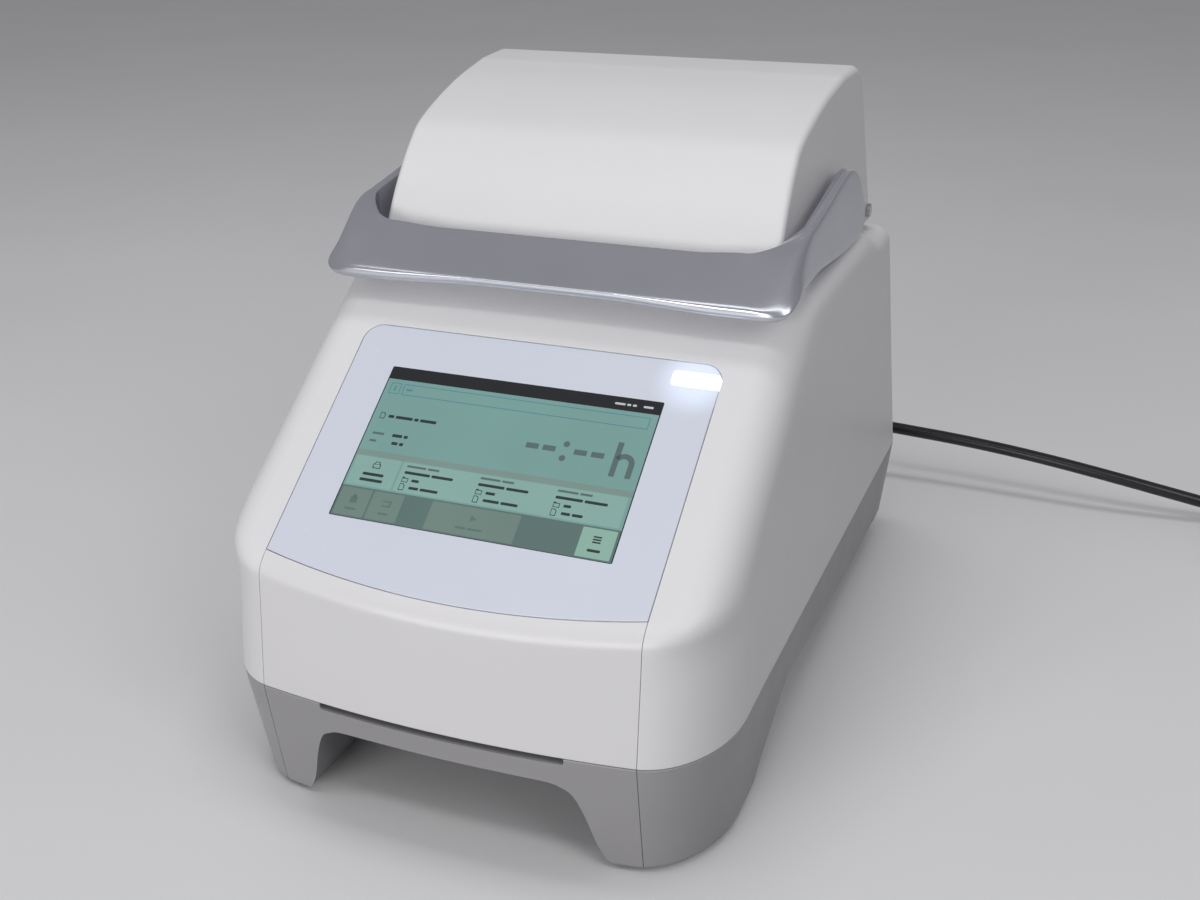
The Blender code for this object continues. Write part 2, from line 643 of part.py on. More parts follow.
def make_connectors(hollow):
    """Panel in the rear bay, and the sockets, fuse drawer and rocker on it."""
    low = (PANEL_X[0] - 4, PANEL_Y - 2, PANEL_Z[0] - 1.2)
    high = (PANEL_X[1] + 4, 214, PANEL_Z[1] + 2.6)
    panel = box("connector_panel", low, high, "zinc")
    pocket = box("panel_pocket", (PANEL_X[0] - 1.5, PANEL_Y, PANEL_Z[0] + 0.3),
                 (PANEL_X[1] + 1.5, 230, PANEL_Z[1] + 0.9))
    inside = place("panel_limit_shape", hollow.data.copy(), None)
    bmesh_shrink(inside)
    cut(keep(panel, inside), pocket)
    holes = ((INLET_X, 14.0, 11.0), (FUSE_X, 7.0, 10.0), (SWITCH_X, 10.6, 13.6), (NETWORK_X, 8.3, 7.3),
             (USB_X, 7.6, 4.8))
    for x, half_x, half_z in holes:
        cut(panel, box("panel_hole", (x - half_x, 180, CONNECTOR_Z - half_z),
                       (x + half_x, 204, CONNECTOR_Z + half_z)))

    z = CONNECTOR_Z
    inlet = box("mains_inlet", (INLET_X - 13.6, 168, z - 10.6), (INLET_X + 13.6, 197, z + 10.6), "black")
    join(inlet, box("inlet_flange", (INLET_X - 16, PANEL_Y + GAP, z - 13), (INLET_X + 16, 198, z + 13),
                    edge=0.8))
    cut(inlet, box("inlet_mouth", (INLET_X - 12.2, 182, z - 8.2), (INLET_X + 12.2, 230, z + 8.2)))
    network = box("network_socket", (NETWORK_X - 8, 176, z - 7), (NETWORK_X + 8, 197.5, z + 7), "steel")
    cut(network, box("network_mouth", (NETWORK_X - 6, 184, z - 4), (NETWORK_X + 6, 230, z + 5)))
    usb = box("usb_socket", (USB_X - 7.3, 180, z - 4.5), (USB_X + 7.3, 197.2, z + 4.5), "steel")
    cut(usb, box("usb_mouth", (USB_X - 6.2, 186, z - 2.5), (USB_X + 6.2, 230, z + 2.5)))

    fuse = box("fuse_drawer", (FUSE_X - 6.6, 172, z - 9.6), (FUSE_X + 6.6, 197.6, z + 9.6), "black", edge=0.6)
    cut(fuse, box("fuse_grip", (FUSE_X - 3.5, 195.8, z - 12), (FUSE_X + 3.5, 199, z - 6.5)))
    attach(axis_empty("fuse_slide", (FUSE_X, PANEL_Y, z)), fuse)

    pivot_y = PANEL_Y - 3.0
    profile = [(-8.0, -6.0), (1.6, -12.0), (6.2, -12.2), (4.4, 0.0), (6.2, 12.2), (1.6, 12.0), (-8.0, 6.0)]
    turn = -SWITCH_TILT
    tilted = [(pivot_y + y * math.cos(turn) - v * math.sin(turn), z + y * math.sin(turn) + v * math.cos(turn))
              for y, v in profile]
    rocker = prism("power_switch", tilted, "yz", SWITCH_X - 9.8, SWITCH_X + 9.8, "black",
                   hinge=(SWITCH_X, pivot_y, z))
    return [bake(panel), bake(inlet), bake(network), bake(usb), bake(fuse), rocker]


def bmesh_shrink(obj):
    """Draw a lofted form in by the gap, towards its middle line."""
    for vertex in obj.data.vertices:
        vertex.co.x -= math.copysign(min(abs(vertex.co.x), GAP * MM), vertex.co.x)
        vertex.co.y -= math.copysign(min(abs(vertex.co.y), GAP * MM), vertex.co.y)


# Block, heat sink, fans and boards

def make_block():
    """Frame round the block, the block with its wells, and what cools and drives it."""
    frame = box("block_frame", (-82, BLOCK_Y - 57, DECK_Z + GAP), (82, BLOCK_Y + 57, DECK_Z + 1.9), "black")
    join(frame, box("frame_skirt", (-68, BLOCK_Y - 47, 222), (68, BLOCK_Y + 47, DECK_Z + 1.0)))
    cut(frame, box("frame_mouth", (-65, BLOCK_Y - 44, 210), (65, BLOCK_Y + 44, 250)))
    cut(frame, box("frame_latch_room", (-14, BLOCK_Y - 80, 230), (14, -4.7, 250)))

    width, depth = BLOCK_HALF
    block = box("sample_block", (-width, BLOCK_Y - depth, BLOCK_Z[0]), (width, BLOCK_Y + depth, BLOCK_Z[1]),
                "block_silver")
    wells = bmesh.new()
    for column in range(WELL_COLUMNS):
        for row in range(WELL_ROWS):
            x = (column - (WELL_COLUMNS - 1) / 2) * WELL_PITCH
            y = BLOCK_Y + (row - (WELL_ROWS - 1) / 2) * WELL_PITCH
            spot = Matrix.Translation(mm(x, y, BLOCK_Z[1] - WELL_DEPTH / 2 + 0.25))
            bmesh.ops.create_cone(wells, cap_ends=True, segments=6, radius1=WELL_LOW_R * MM,
                                  radius2=WELL_TOP_R * MM, depth=(WELL_DEPTH + 0.5) * MM, matrix=spot)
    cut(block, place("wells", mesh_of(wells, "wells"), None))
    pieces = [bake(frame), bake(block)]

    for column in range(3):
        for row in range(2):
            x = (column - 1) * 42.0
            y = BLOCK_Y + (row - 0.5) * 42.0
            low = (x - 20, y - 20, BLOCK_Z[0] - 3.7)
            high = (x + 20, y + 20, BLOCK_Z[0] - GAP)
            pieces.append(box("peltier_%d" % (1 + column + 3 * row), low, high, "ceramic"))
    return pieces + [make_heat_sink()]


def make_heat_sink():
    top = BLOCK_Z[0] - 4.0
    fins, pitch, thick = 15, 10.0, 2.0
    outline = [(75.0, top), (-75.0, top)]
    for i in range(fins):
        x = (i - (fins - 1) / 2) * pitch
        near, far = x - thick / 2, x + thick / 2
        outline += [(near, top - 8), (near, top - 46), (far, top - 46), (far, top - 8)]
    outline = outline[:2] + [(-75.0, top - 8)] + outline[2:] + [(75.0, top - 8)]
    return prism("heat_sink", outline, "xz", -BLOCK_Y - 55, -BLOCK_Y + 55, "aluminium")


def make_fans():
    """Two fans under the heat sink, each a frame and a rotor on a vertical axis."""
    frames, rotors = [], []
    low, high = 127.0, 152.0
    for side, word in ((-1, "left"), (1, "right")):
        x = side * 41.0
        frame = box("fan_frame_" + word, (x - 40, BLOCK_Y - 40, low), (x + 40, BLOCK_Y + 40, high), "black")
        cut(frame, rod("fan_bore", "Z", (x, BLOCK_Y, (low + high) / 2), 37.5, 60.0, sides=24))
        rotor = rod("fan_rotor_" + word, "Z", (x, BLOCK_Y, (low + high) / 2), 14.0, 21.0, "black", sides=16)
        for blade in range(7):
            shape = bmesh.new()
            bmesh.ops.create_cube(shape, size=1.0)
            bmesh.ops.scale(shape, vec=mm(24.0, 1.6, 20.0), verts=shape.verts)
            pitch = Matrix.Rotation(math.radians(38.0), 4, "X")
            spot = Matrix.Rotation(2 * math.pi * blade / 7, 4, "Z") @ Matrix.Translation(mm(23.5, 0, 0)) @ pitch
            bmesh.ops.transform(shape, matrix=spot, verts=shape.verts)
            join(rotor, place("fan_blade", mesh_of(shape, "fan_blade"), None, (x, BLOCK_Y, (low + high) / 2)))
        frames.append(bake(frame))
        rotors.append(bake(rotor))
    return frames + rotors


def make_electronics():
    """Power supply behind the block and the main board under the display."""
    supply = box("power_supply", (-105, 128, 58), (-5, 182, 100), "zinc", edge=1.5)
    board = box("main_board", (-90, -132, 62), (90, -20, 63.6), "board")
    for low, high in (((-70, -126), (-34, -90)), ((-10, -120), (22, -88)), ((40, -70), (78, -34)),
                      ((-60, -66), (0, -50))):
        join(board, box("chip", (*low, 63.0), (*high, 66.5)))
    return [supply, bake(board)]


# Lid

def lid_profile():
    """Side outline of the lid, from its front foot over the top to its rear foot, in Y and Z."""
    front = [LID_FRONT_FOOT, (-37.0, 256.0), (-31.0, 267.5), (-22.0, 281.0), (-8.0, 297.0), (8.0, 308.5),
             (50.0, 321.5), (92.0, 328.8)]
    curve = [tuple(p) for p in smooth_path(front, 2)]
    foot_y, foot_z = LID_FOOT[0]
    lean = math.atan2(19.0, 86.0)
    corner_y = foot_y - math.tan(lean) * (LID_TOP_Z - foot_z)
    reach = LID_REAR_TOP_R * math.tan((math.pi / 2 - lean) / 2)
    centre = (corner_y - reach, LID_TOP_Z - LID_REAR_TOP_R)
    return curve + arc(centre, LID_REAR_TOP_R, 90, math.degrees(lean), 4) + [LID_FOOT[0]]


def lid_half(y, z):
    """Half width of the lid, whose sides are flat and draw in towards the front and the top."""
    return LID_SIDE[0] + LID_SIDE[1] * y + LID_SIDE[2] * z


def lid_ring(side, angle):
    """The lid's outline where its rounded side edge has turned by an angle, from 0 on top to 90 at the side."""
    profile = [Vector(p) for p in lid_profile()]
    ring = []
    for i, point in enumerate(profile):
        along = profile[min(i + 1, len(profile) - 1)] - profile[max(i - 1, 0)]
        inward = Vector((along.y, -along.x)).normalized()
        if i in (0, len(profile) - 1):
            inward = Vector((1.0 if i == 0 else -1.0, 0.0))
        rear = fade(100.0, 135.0, point.x)
        radius = LID_EDGE_R + (LID_REAR_EDGE_R - LID_EDGE_R) * rear
        y, z = point + inward * radius * (1.0 - math.cos(angle))
        ring.append((side * (lid_half(y, z) - radius * (1.0 - math.sin(angle))), y, z))
    return ring


def make_lid_cover():
    """White lid shell: its side outline drawn across, with rounded side edges, open underneath."""
    angles = [math.pi / 2 * k / 3 for k in range(4)]
    rings = [lid_ring(-1, a) for a in reversed(angles)] + [lid_ring(1, a) for a in angles]
    shape = bmesh.new()
    loops = [[shape.verts.new(mm(*p)) for p in ring] for ring in rings]
    for a, b in zip(loops, loops[1:]):
        for i in range(len(a) - 1):
            shape.faces.new((a[i], a[i + 1], b[i + 1], b[i]))
    for side, loop in ((-1, loops[0]), (1, loops[-1])):
        lower = [shape.verts.new(mm(side * lid_half(y, z), y, z)) for y, z in LID_FOOT[1:]]
        shape.faces.new(loop + lower)
    bmesh.ops.triangulate(shape, faces=shape.faces)
    cover = place("lid_cover", mesh_of(shape, "lid_cover", 35), "white")
    add_wall(cover)
    for side in (-1, 1):
        low, high = sorted((side * (BRACKET_X[0] - 4), side * (BRACKET_X[1] + 2.5)))
        cut(cover, box("bracket_notch", (low, 140, 220), (high, 170, HINGE[1] + 8.5)))
        cut(cover, rod("lid_hinge_hole", "X", (side * 116, *HINGE), HINGE_PIN_R + GAP, 20.0))
        cut(cover, rod("lid_handle_hole", "X", (side * 116, *HANDLE_AXIS), HANDLE_PIN_R + GAP, 20.0))
    return bake(cover)


def make_lid_inside():
    """Tray that closes the lid, its gasket, and the pressure plate above the heated plate."""
    tray = prism("lid_tray", rounded_rectangle((-106.5, -34.5), (106.5, 146.0), 15.0), "xy", *TRAY_Z, "black")
    cut(tray, box("heater_room", (-70, BLOCK_Y - 49, 230), (70, BLOCK_Y + 49, 260)))
    cut(tray, box("latch_room", (-9, -37, 230), (9, -11, 260)))
    for side in (-1, 1):
        low, high = sorted((side * (BRACKET_X[0] - 4), side * (BRACKET_X[1] + 2.5)))
        cut(tray, box("bracket_room", (low, 128, 230), (high, 160, 260)))
        low, high = sorted((side * (BRACKET_X[1] + 3), side * (BRACKET_X[1] + 7)))
        lug = box("hinge_lug", (low, HINGE[0] - 7, HINGE[1] - 4.5), (high, HINGE[0] + 3.4, TRAY_Z[0] + 1))
        join(tray, lug)
        cut(tray, rod("hinge_lug_hole", "X", (side * (BRACKET_X[1] + 5), *HINGE), HINGE_PIN_R + GAP, 20.0))
        low, high = sorted((side * 9.3, side * 12.5))
        lug = box("latch_lug", (low, -28, 246), (high, -16, 258))
        join(tray, cut(lug, rod("latch_lug_hole", "X", (0, *LATCH_AXIS), 2.0 + GAP, 60.0, sides=12)))
    gasket = prism("lid_gasket", rounded_rectangle((-79, BLOCK_Y - 56), (79, BLOCK_Y + 56), 8.0), "xy",
                   DECK_Z + 2.5, TRAY_Z[0] - GAP, "seal")
    room = rounded_rectangle((-74, BLOCK_Y - 51), (74, BLOCK_Y + 51), 6.0)
    cut(gasket, prism("gasket_room", room, "xy", 230, 260))
    pressure = prism("pressure_plate", rounded_rectangle((-72, BLOCK_Y - 48), (72, BLOCK_Y + 48), 6.0), "xy",
                     *PRESSURE_PLATE_Z, "zinc")
    return [bake(tray), bake(gasket), pressure]


def make_heated_plate():
    plate = prism("heated_plate", rounded_rectangle((-66, BLOCK_Y - 45), (66, BLOCK_Y + 45), 5.0), "xy",
                  *HEATED_PLATE_Z, "aluminium")
    modifier = plate.modifiers.new("edge", "BEVEL")
    modifier.width = 0.8 * MM
    modifier.segments = 1
    modifier.limit_method = "ANGLE"
    return plate


def make_springs():
    """Four compression springs between the heated plate and the pressure plate."""
    springs = []
    low, high, radius, wire, turns = HEATED_PLATE_Z[1], PRESSURE_PLATE_Z[0], 5.0, 0.7, 3
    bottom, top = low + wire + GAP, high - wire - GAP
    for i, (side_x_, side_y) in enumerate(((-1, -1), (1, -1), (-1, 1), (1, 1))):
        points = []
        for k in range(turns * 8 + 1):
            angle = 2 * math.pi * k / 8
            points.append((side_x_ * 48 + radius * math.cos(angle), BLOCK_Y + side_y * 30 + radius * math.sin(angle),
                           bottom + (top - bottom) * k / (turns * 8)))
        springs.append(tube("lid_spring_%d" % (i + 1), points, wire, "steel", resolution=0))
    return springs


def make_hinge():
    """Hinge brackets on the deck, and headed pins carried by the lid's tray."""
    brackets, pins = [], []
    foot_z = DECK_Z - DECK_DROP + GAP
    y, z = HINGE
    inner, outer = BRACKET_X
    for side, word in ((-1, "left"), (1, "right")):
        low, high = sorted((side * inner, side * outer))
        outline = [(y - 12, foot_z + 0.5), (y + 5, foot_z + 0.5)] + arc((y, z), 6.5, 0, 180, 6)
        bracket = prism("hinge_bracket_" + word, outline, "yz", low, high, "steel")
        low, high = sorted((side * (inner - 3), side * (outer + 1.5)))
        join(bracket, box("bracket_foot", (low, y - 13, foot_z), (high, y + 5.4, foot_z + 2.4)))
        cut(bracket, rod("bracket_bore", "X", (side * (inner + outer) / 2, y, z), HINGE_PIN_R + GAP, 30.0))
        brackets.append(bake(bracket))
        start, end = inner - 3.0, lid_half(y, z) + 1.5
        pin = rod("hinge_pin_" + word, "X", (side * (start + end) / 2, y, z), HINGE_PIN_R, end - start, "steel")
        join(pin, rod("hinge_head", "X", (side * (inner - 2), y, z), HINGE_HEAD_R, 2.4))
        join(pin, rod("hinge_cap", "X", (side * (end - 0.2), y, z), HINGE_HEAD_R, 2.0))
        pins.append(bake(pin))
    return brackets, pins


def make_latch():
    """Hook that hangs from the lid through the deck, its pin, and the keeper bar under the deck."""
    y, z = LATCH_AXIS
    outline = (arc((y, z), 5.0, 0, 180, 6)
               + [(y - 3.5, z - 16), (y - 3.5, 214.0), (y + 5.5, 214.0), (y + 8.0, 217.5), (y + 3.0, 219.0),
                  (y + 3.0, z - 16)])
    hook = prism("latch_hook", outline, "yz", -8.0, 8.0, "steel", hinge=(0.0, y, z))
    cut(hook, rod("hook_bore", "X", (0, y, z), 2.0 + GAP, 40.0, sides=12))
    pin = rod("latch_pin", "X", (0, y, z), 2.0, 25.0, "steel", sides=12)
    keeper = box("latch_keeper", (-18, y + 9.2, 221), (18, y + 13.2, DECK_Z - WALL - GAP), "steel")
    cut(keeper, box("keeper_room", (-10, y, 225.5), (10, y + 30, 232.0)))
    return bake(hook), pin, bake(keeper)


def height_at(points, y):
    """Height of a smooth outline at a place along it."""
    path = smooth_path(points, 4)
    for a, b in zip(path, path[1:]):
        if y <= b.x:
            return a.y + (b.y - a.y) * (y - a.x) / (b.x - a.x)
    return path[-1].y


def arm_section(y):
    """Section of the right arm, as places in X and Z that match the bar's section point for point."""
    top, low = height_at(ARM_TOP, y), height_at(ARM_LOW, y)
    e = min((top - low) / 12.0, 1.0)
    inner, outer = ARM_INNER, HANDLE_HALF
    return [(inner + 0.9, top - 0.4 * e), (outer - 2.8, top), (outer - 0.9, top - 2.2 * e),
            (outer - 0.3, low + 0.35 * (top - low)), (outer, low + 1.6 * e), (outer - 0.6, low + 0.2 * e),
            (outer - 2.0, low - 0.4 * e), (outer - 3.4, low - 0.4 * e), (inner + 2.6, low + 0.2 * e),
            (inner + 1.2, low + 0.4 * e), (inner, low + 1.6 * e), (inner, top - 1.8 * e)]


def handle_rings():
    """Sections of the handle from the right arm's rear end, round the bend, to the middle of the bar."""
    cx, cy = HANDLE_CORNER
    rings = [[(x, y, z) for x, z in arm_section(y)]
             for y in (98.0, 96.6, 94, 91, 87, 82, 76, 69, 60, 50, 38, 24, 8, -9, cy)]
    arm = arm_section(cy)
    for step in range(1, 9):
        angle = math.pi / 2 * step / 9
        dip, rise = LIP_DIP * math.sin(angle) ** 2, CREST_RISE * math.sin(angle) ** 2
        flare = LIP_FLARE * math.sin(2 * angle)
        ring = []
        for (x, z_arm), (y, z_bar, power), lip, crest in zip(arm, BAR_SECTION, LIP_SHARE, CREST_SHARE):
            z = z_arm + (z_bar - z_arm) * fade(0.0, 1.0 - LIP_LEAD * lip, step / 9) - dip * lip + rise * crest
            ring.append((cx + (x - cx) * math.cos(angle) ** power + flare * lip,
                         cy + (y - cy) * math.sin(angle) ** power, z))
        rings.append(ring)
    for x in (cx, 84.0, 66.0, 33.0, 0.0):
        dip, rise = LIP_DIP * fade(30.0, cx, x), CREST_RISE * fade(70.0, cx, x)
        rings.append([(x, y, z - dip * lip + rise * crest)
                      for (y, z, _), lip, crest in zip(BAR_SECTION, LIP_SHARE, CREST_SHARE)])
    return rings


def make_handle():
    """Silver U-shaped handle: a sloping bar in front of the lid and an arm down each side."""
    right = handle_rings()
    rings = right + [[(-x, y, z) for x, y, z in ring] for ring in reversed(right[:-1])]
    shape = bmesh.new()
    origin = mm(0.0, *HANDLE_AXIS)
    loops = [[shape.verts.new(mm(*p) - origin) for p in ring] for ring in rings]
    count = len(loops[0])
    for a, b in zip(loops, loops[1:]):
        for i in range(count):
            j = (i + 1) % count
            shape.faces.new((a[i], a[j], b[j], b[i]))
    shape.faces.new(loops[0])
    shape.faces.new(loops[-1])
    bmesh.ops.triangulate(shape, faces=shape.faces)
    handle = place("handle", mesh_of(shape, "handle", 40), "silver", (0.0, *HANDLE_AXIS))
    pins = []
    for side, word in ((-1, "left"), (1, "right")):
        cut(handle, rod("arm_bore", "X", (side * ARM_INNER, *HANDLE_AXIS), HANDLE_PIN_R + GAP, 8.0))
        pin = rod("handle_pin_" + word, "X", (side * 113.8, *HANDLE_AXIS), HANDLE_PIN_R, 18.0, "steel")
        pins.append(join(pin, rod("handle_pin_head", "X", (side * 106.5, *HANDLE_AXIS), 6.0, 4.0)))
    return bake(handle), [bake(pin) for pin in pins]


# Mains lead

def tube(name, points, radius, finish, resolution):
    """Round tube along a list of points, with closed ends."""
    curve = bpy.data.curves.new(name, "CURVE")
    curve.dimensions = "3D"
    curve.bevel_depth = radius * MM
    curve.bevel_resolution = resolution
    curve.use_fill_caps = True
    spline = curve.splines.new("POLY")
    spline.points.add(len(points) - 1)
    for point, co in zip(spline.points, points):
        point.co = (*mm(*co), 1.0)
    return place(name, mesh_of(mesh_from_curve(name, curve), name, 60), finish)


def resample(path, step):
    """Points a steady distance apart along a path, with both its ends."""
    lengths = [0.0]
    for a, b in zip(path, path[1:]):
        lengths.append(lengths[-1] + (b - a).length)
    count = max(round(lengths[-1] / step), 1)
    points, k = [], 0
    for i in range(count + 1):
        want = lengths[-1] * i / count
        while k < len(path) - 2 and lengths[k + 1] < want:
            k += 1
        share = (want - lengths[k]) / (lengths[k + 1] - lengths[k])
        points.append(path[k].lerp(path[k + 1], share))
    return points


def coil_points():
    """The coil's middle line: in along the lower layer, out along the upper one, and straight ends."""
    start = Vector(CORD_ROUTE[-1]) + Vector((GAP, 0.0, 0.0))
    lead = CORD_D
    centre = start + Vector((lead, -COIL_OUTER_R, 0.0))
    steps = round(COIL_TURNS * COIL_LOOP_POINTS)
    half = COIL_TURNS / 2
    points = [start]
    for i in range(steps + 1):
        turn = COIL_TURNS * i / steps
        radius = COIL_OUTER_R - COIL_PITCH * (half - abs(turn - half))
        angle = math.pi / 2 - 2 * math.pi * turn
        climb = fade(half - 0.25, half + 0.25, turn)
        points.append(centre + Vector((radius * math.cos(angle), radius * math.sin(angle), COIL_PITCH * climb)))
    out = Vector((math.sin(angle), -math.cos(angle), 0.0))
    points.append(points[-1] + out * COIL_TAIL)
    return points, centre, out


def least_gap(points):
    """Smallest clear distance between stretches of the tube that aren't neighbours along it."""
    fine = smooth_path(points, 4)
    apart = int(COIL_LOOP_POINTS * 4 * 0.6)
    least = min((fine[i] - fine[j]).length for i in range(len(fine)) for j in range(i + apart, len(fine)))
    return least - CORD_D


def make_cord():
    """Connector in the inlet, strain relief, free stretch, coil with its tie, and the wall plug."""
    z, x = CONNECTOR_Z, INLET_X
    connector = box("mains_connector", (x - 14, 198.4, z - 11), (x + 14, CONNECTOR_REAR_Y, z + 11), "cord",
                    edge=2.5)
    join(connector, box("connector_nose", (x - 11.8, 183, z - 7.8), (x + 11.8, 201, z + 7.8), edge=1.0))
    relief_y = CONNECTOR_REAR_Y + GAP + RELIEF_LENGTH / 2 - GAP / 2
    relief = rod("strain_relief", "Y", (x, relief_y, z), 7.4, RELIEF_LENGTH - GAP, "cord", sides=12,
                 end_radius=CORD_D / 2 + 0.8)
    route = resample(smooth_path(CORD_ROUTE, 6), CORD_STEP)
    route.insert(1, route[0] + Vector((0.0, 5.0, 0.0)))
    route.insert(-1, route[-1] - Vector((6.0, 0.0, 0.0)))
    cord = tube("power_cord", route, CORD_D / 2, "cord", resolution=2)
    points, centre, out = coil_points()
    print("least gap between the coil's turns: %.2f mm" % least_gap(points))
    coil = tube("cord_coil", points, CORD_D / 2, "cord", resolution=1)
    return [bake(connector), relief, cord, coil, make_tie(centre), make_plug(points[-1], out)]


def make_tie(centre):
    """Strap round the coil's turns: a thin rectangular loop across the bundle."""
    inner = COIL_OUTER_R - COIL_PITCH * COIL_TURNS / 2 - CORD_D / 2 - 1.2
    outer = COIL_OUTER_R + CORD_D / 2 + 1.2
    low = COIL_LOW_Z - CORD_D / 2 - 0.6
    high = COIL_LOW_Z + COIL_PITCH + CORD_D / 2 + 0.6
    thick, width = 1.0, 12.0
    tie = box("cord_tie", (inner - thick, -width / 2, low - thick), (outer + thick, width / 2, high + thick),
              "seal")
    hole = box("tie_room", (inner, -width, low), (outer, width, high))
    for piece in (tie, hole):
        turn = Matrix.Rotation(COIL_TIE_ANGLE, 4, "Z")
        piece.matrix_world = Matrix.Translation(mm(centre.x, centre.y, 0.0)) @ turn @ piece.matrix_basis
    return bake(cut(tie, hole))


def make_plug(end, out):
    """Straight three-pin wall plug, lying beside the coil."""
    parts = [rod("wall_plug", "Y", (0, GAP + 11.0, 0), CORD_D / 2 + 0.8, 22.0, "cord", sides=12, end_radius=8.5),
             box("plug_body", (-13.0, 20.0, -13.8), (13.0, 20.0 + PLUG_LENGTH, 13.8), edge=3.5)]
    tip = 20.0 + PLUG_LENGTH
    for side in (-1, 1):
        parts.append(box("plug_blade", (side * 6.35 - 0.75, tip - 2, 0.0), (side * 6.35 + 0.75, tip + 17, 6.4)))
    parts.append(rod("plug_earth", "Y", (0, tip + 9.0, -6.5), 2.4, 22.0, sides=10))
    turn = Matrix.Rotation(math.atan2(out.y, out.x) - math.pi / 2, 4, "Z")
    for part in parts:
        part.matrix_world = Matrix.Translation(mm(*end)) @ turn @ part.matrix_basis
    return bake(join(*parts))


def main():
    base = axis_empty("cycler", (0.0, 0.0, 0.0))
    lid_axis = axis_empty("lid_axis", (0.0, *HINGE), base)
    handle_axis = axis_empty("handle_axis", (0.0, *HANDLE_AXIS), lid_axis)
    latch_axis = axis_empty("latch_axis", (0.0, *LATCH_AXIS), lid_axis)
    plate_axis = axis_empty("heated_plate_slide", (0.0, BLOCK_Y, HEATED_PLATE_Z[0]), lid_axis)

    front, tub, hollow = make_base()
    fixed = make_housing() + make_rear_grille() + make_display() + [front, tub] + make_chassis()
    fixed += make_connectors(hollow) + make_block() + make_fans() + make_electronics() + make_cord()
    brackets, hinge_pins = make_hinge()
    hook, latch_pin, keeper = make_latch()
    handle, handle_pins = make_handle()
    attach(base, *[piece for piece in fixed + brackets + [keeper] if piece.parent is None])
    attach(lid_axis, make_lid_cover(), *make_lid_inside(), *make_springs(), *hinge_pins, *handle_pins, latch_pin)
    attach(handle_axis, handle)
    attach(latch_axis, hook)
    attach(plate_axis, make_heated_plate())


main()
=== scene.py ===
"""Looks of a bench-top thermal cycler: moulded shells, display, handle, mains lead, studio.

Lengths are millimetres and become metres where a mesh is made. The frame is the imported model's own:
+X is the viewer's right, the display faces -Y, +Z is up and the bench is at Z = 0.
"""
import json
import math

import bmesh
import bpy
from mathutils import Matrix, Vector

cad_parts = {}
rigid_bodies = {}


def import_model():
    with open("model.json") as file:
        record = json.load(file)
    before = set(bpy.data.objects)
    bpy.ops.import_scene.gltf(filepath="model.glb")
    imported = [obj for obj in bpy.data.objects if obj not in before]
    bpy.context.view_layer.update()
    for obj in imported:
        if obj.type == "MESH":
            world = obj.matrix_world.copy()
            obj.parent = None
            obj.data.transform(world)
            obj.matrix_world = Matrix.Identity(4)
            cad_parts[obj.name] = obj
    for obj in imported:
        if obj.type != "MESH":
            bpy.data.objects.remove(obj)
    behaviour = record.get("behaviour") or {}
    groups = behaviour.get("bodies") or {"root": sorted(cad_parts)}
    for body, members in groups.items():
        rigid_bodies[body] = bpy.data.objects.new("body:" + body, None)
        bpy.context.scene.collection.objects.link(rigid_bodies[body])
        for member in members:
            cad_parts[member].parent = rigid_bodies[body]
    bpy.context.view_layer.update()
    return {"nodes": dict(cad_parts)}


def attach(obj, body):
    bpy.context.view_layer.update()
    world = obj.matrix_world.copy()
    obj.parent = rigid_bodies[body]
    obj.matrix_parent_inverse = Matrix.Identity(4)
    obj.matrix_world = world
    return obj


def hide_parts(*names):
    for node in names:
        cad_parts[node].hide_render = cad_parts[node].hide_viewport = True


for leftover in list(bpy.data.objects):
    bpy.data.objects.remove(leftover, do_unlink=True)
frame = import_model()

MM = 0.001
GAP = 0.3
WALL = 3.0

# Camera
CAMERA_PLACE = (273.24, -696.28, 451.70)
CAMERA_AZIMUTH = math.radians(-21.42)
CAMERA_DOWN = math.radians(23.70)
CAMERA_ROLL = math.radians(-0.46)
CAMERA_LENS = 42.11

# Studio: places and sizes in metres, power in watts
FLOOR_HALF = 9.0
FLOOR_SEEN = (0.80, 0.80, 0.81)         # what the camera and reflections see
FLOOR_BOUNCE = (0.20, 0.197, 0.195)     # what lights the object from below
WORLD_COLOUR = (0.97, 0.97, 1.0, 1.0)
WORLD_STRENGTH = 0.27
NEUTRAL, WARM = (1.0, 1.0, 1.0), (1.0, 0.99, 0.985)
LIGHTS = (      # name, place, aim, size, power, colour, shown in reflections
    ("ceiling_panel", (0.0, -1.15, 2.25), (0.0, 0.0, 0.2), (2.8, 0.3), 8.0, NEUTRAL, True),
    ("overhead_panel", (0.0, 0.05, 2.25), (0.0, 0.0, 0.2), (1.4, 0.5), 8.5, NEUTRAL, False),
    ("right_wall", (1.8, -1.2, 1.8), (0.0, 0.0, 0.2), (1.2, 1.2), 12.0, NEUTRAL, True),
    ("front_window", (-0.6, -2.6, 0.6), (0.0, 0.0, 0.14), (1.6, 0.9), 28.0, WARM, True),
)

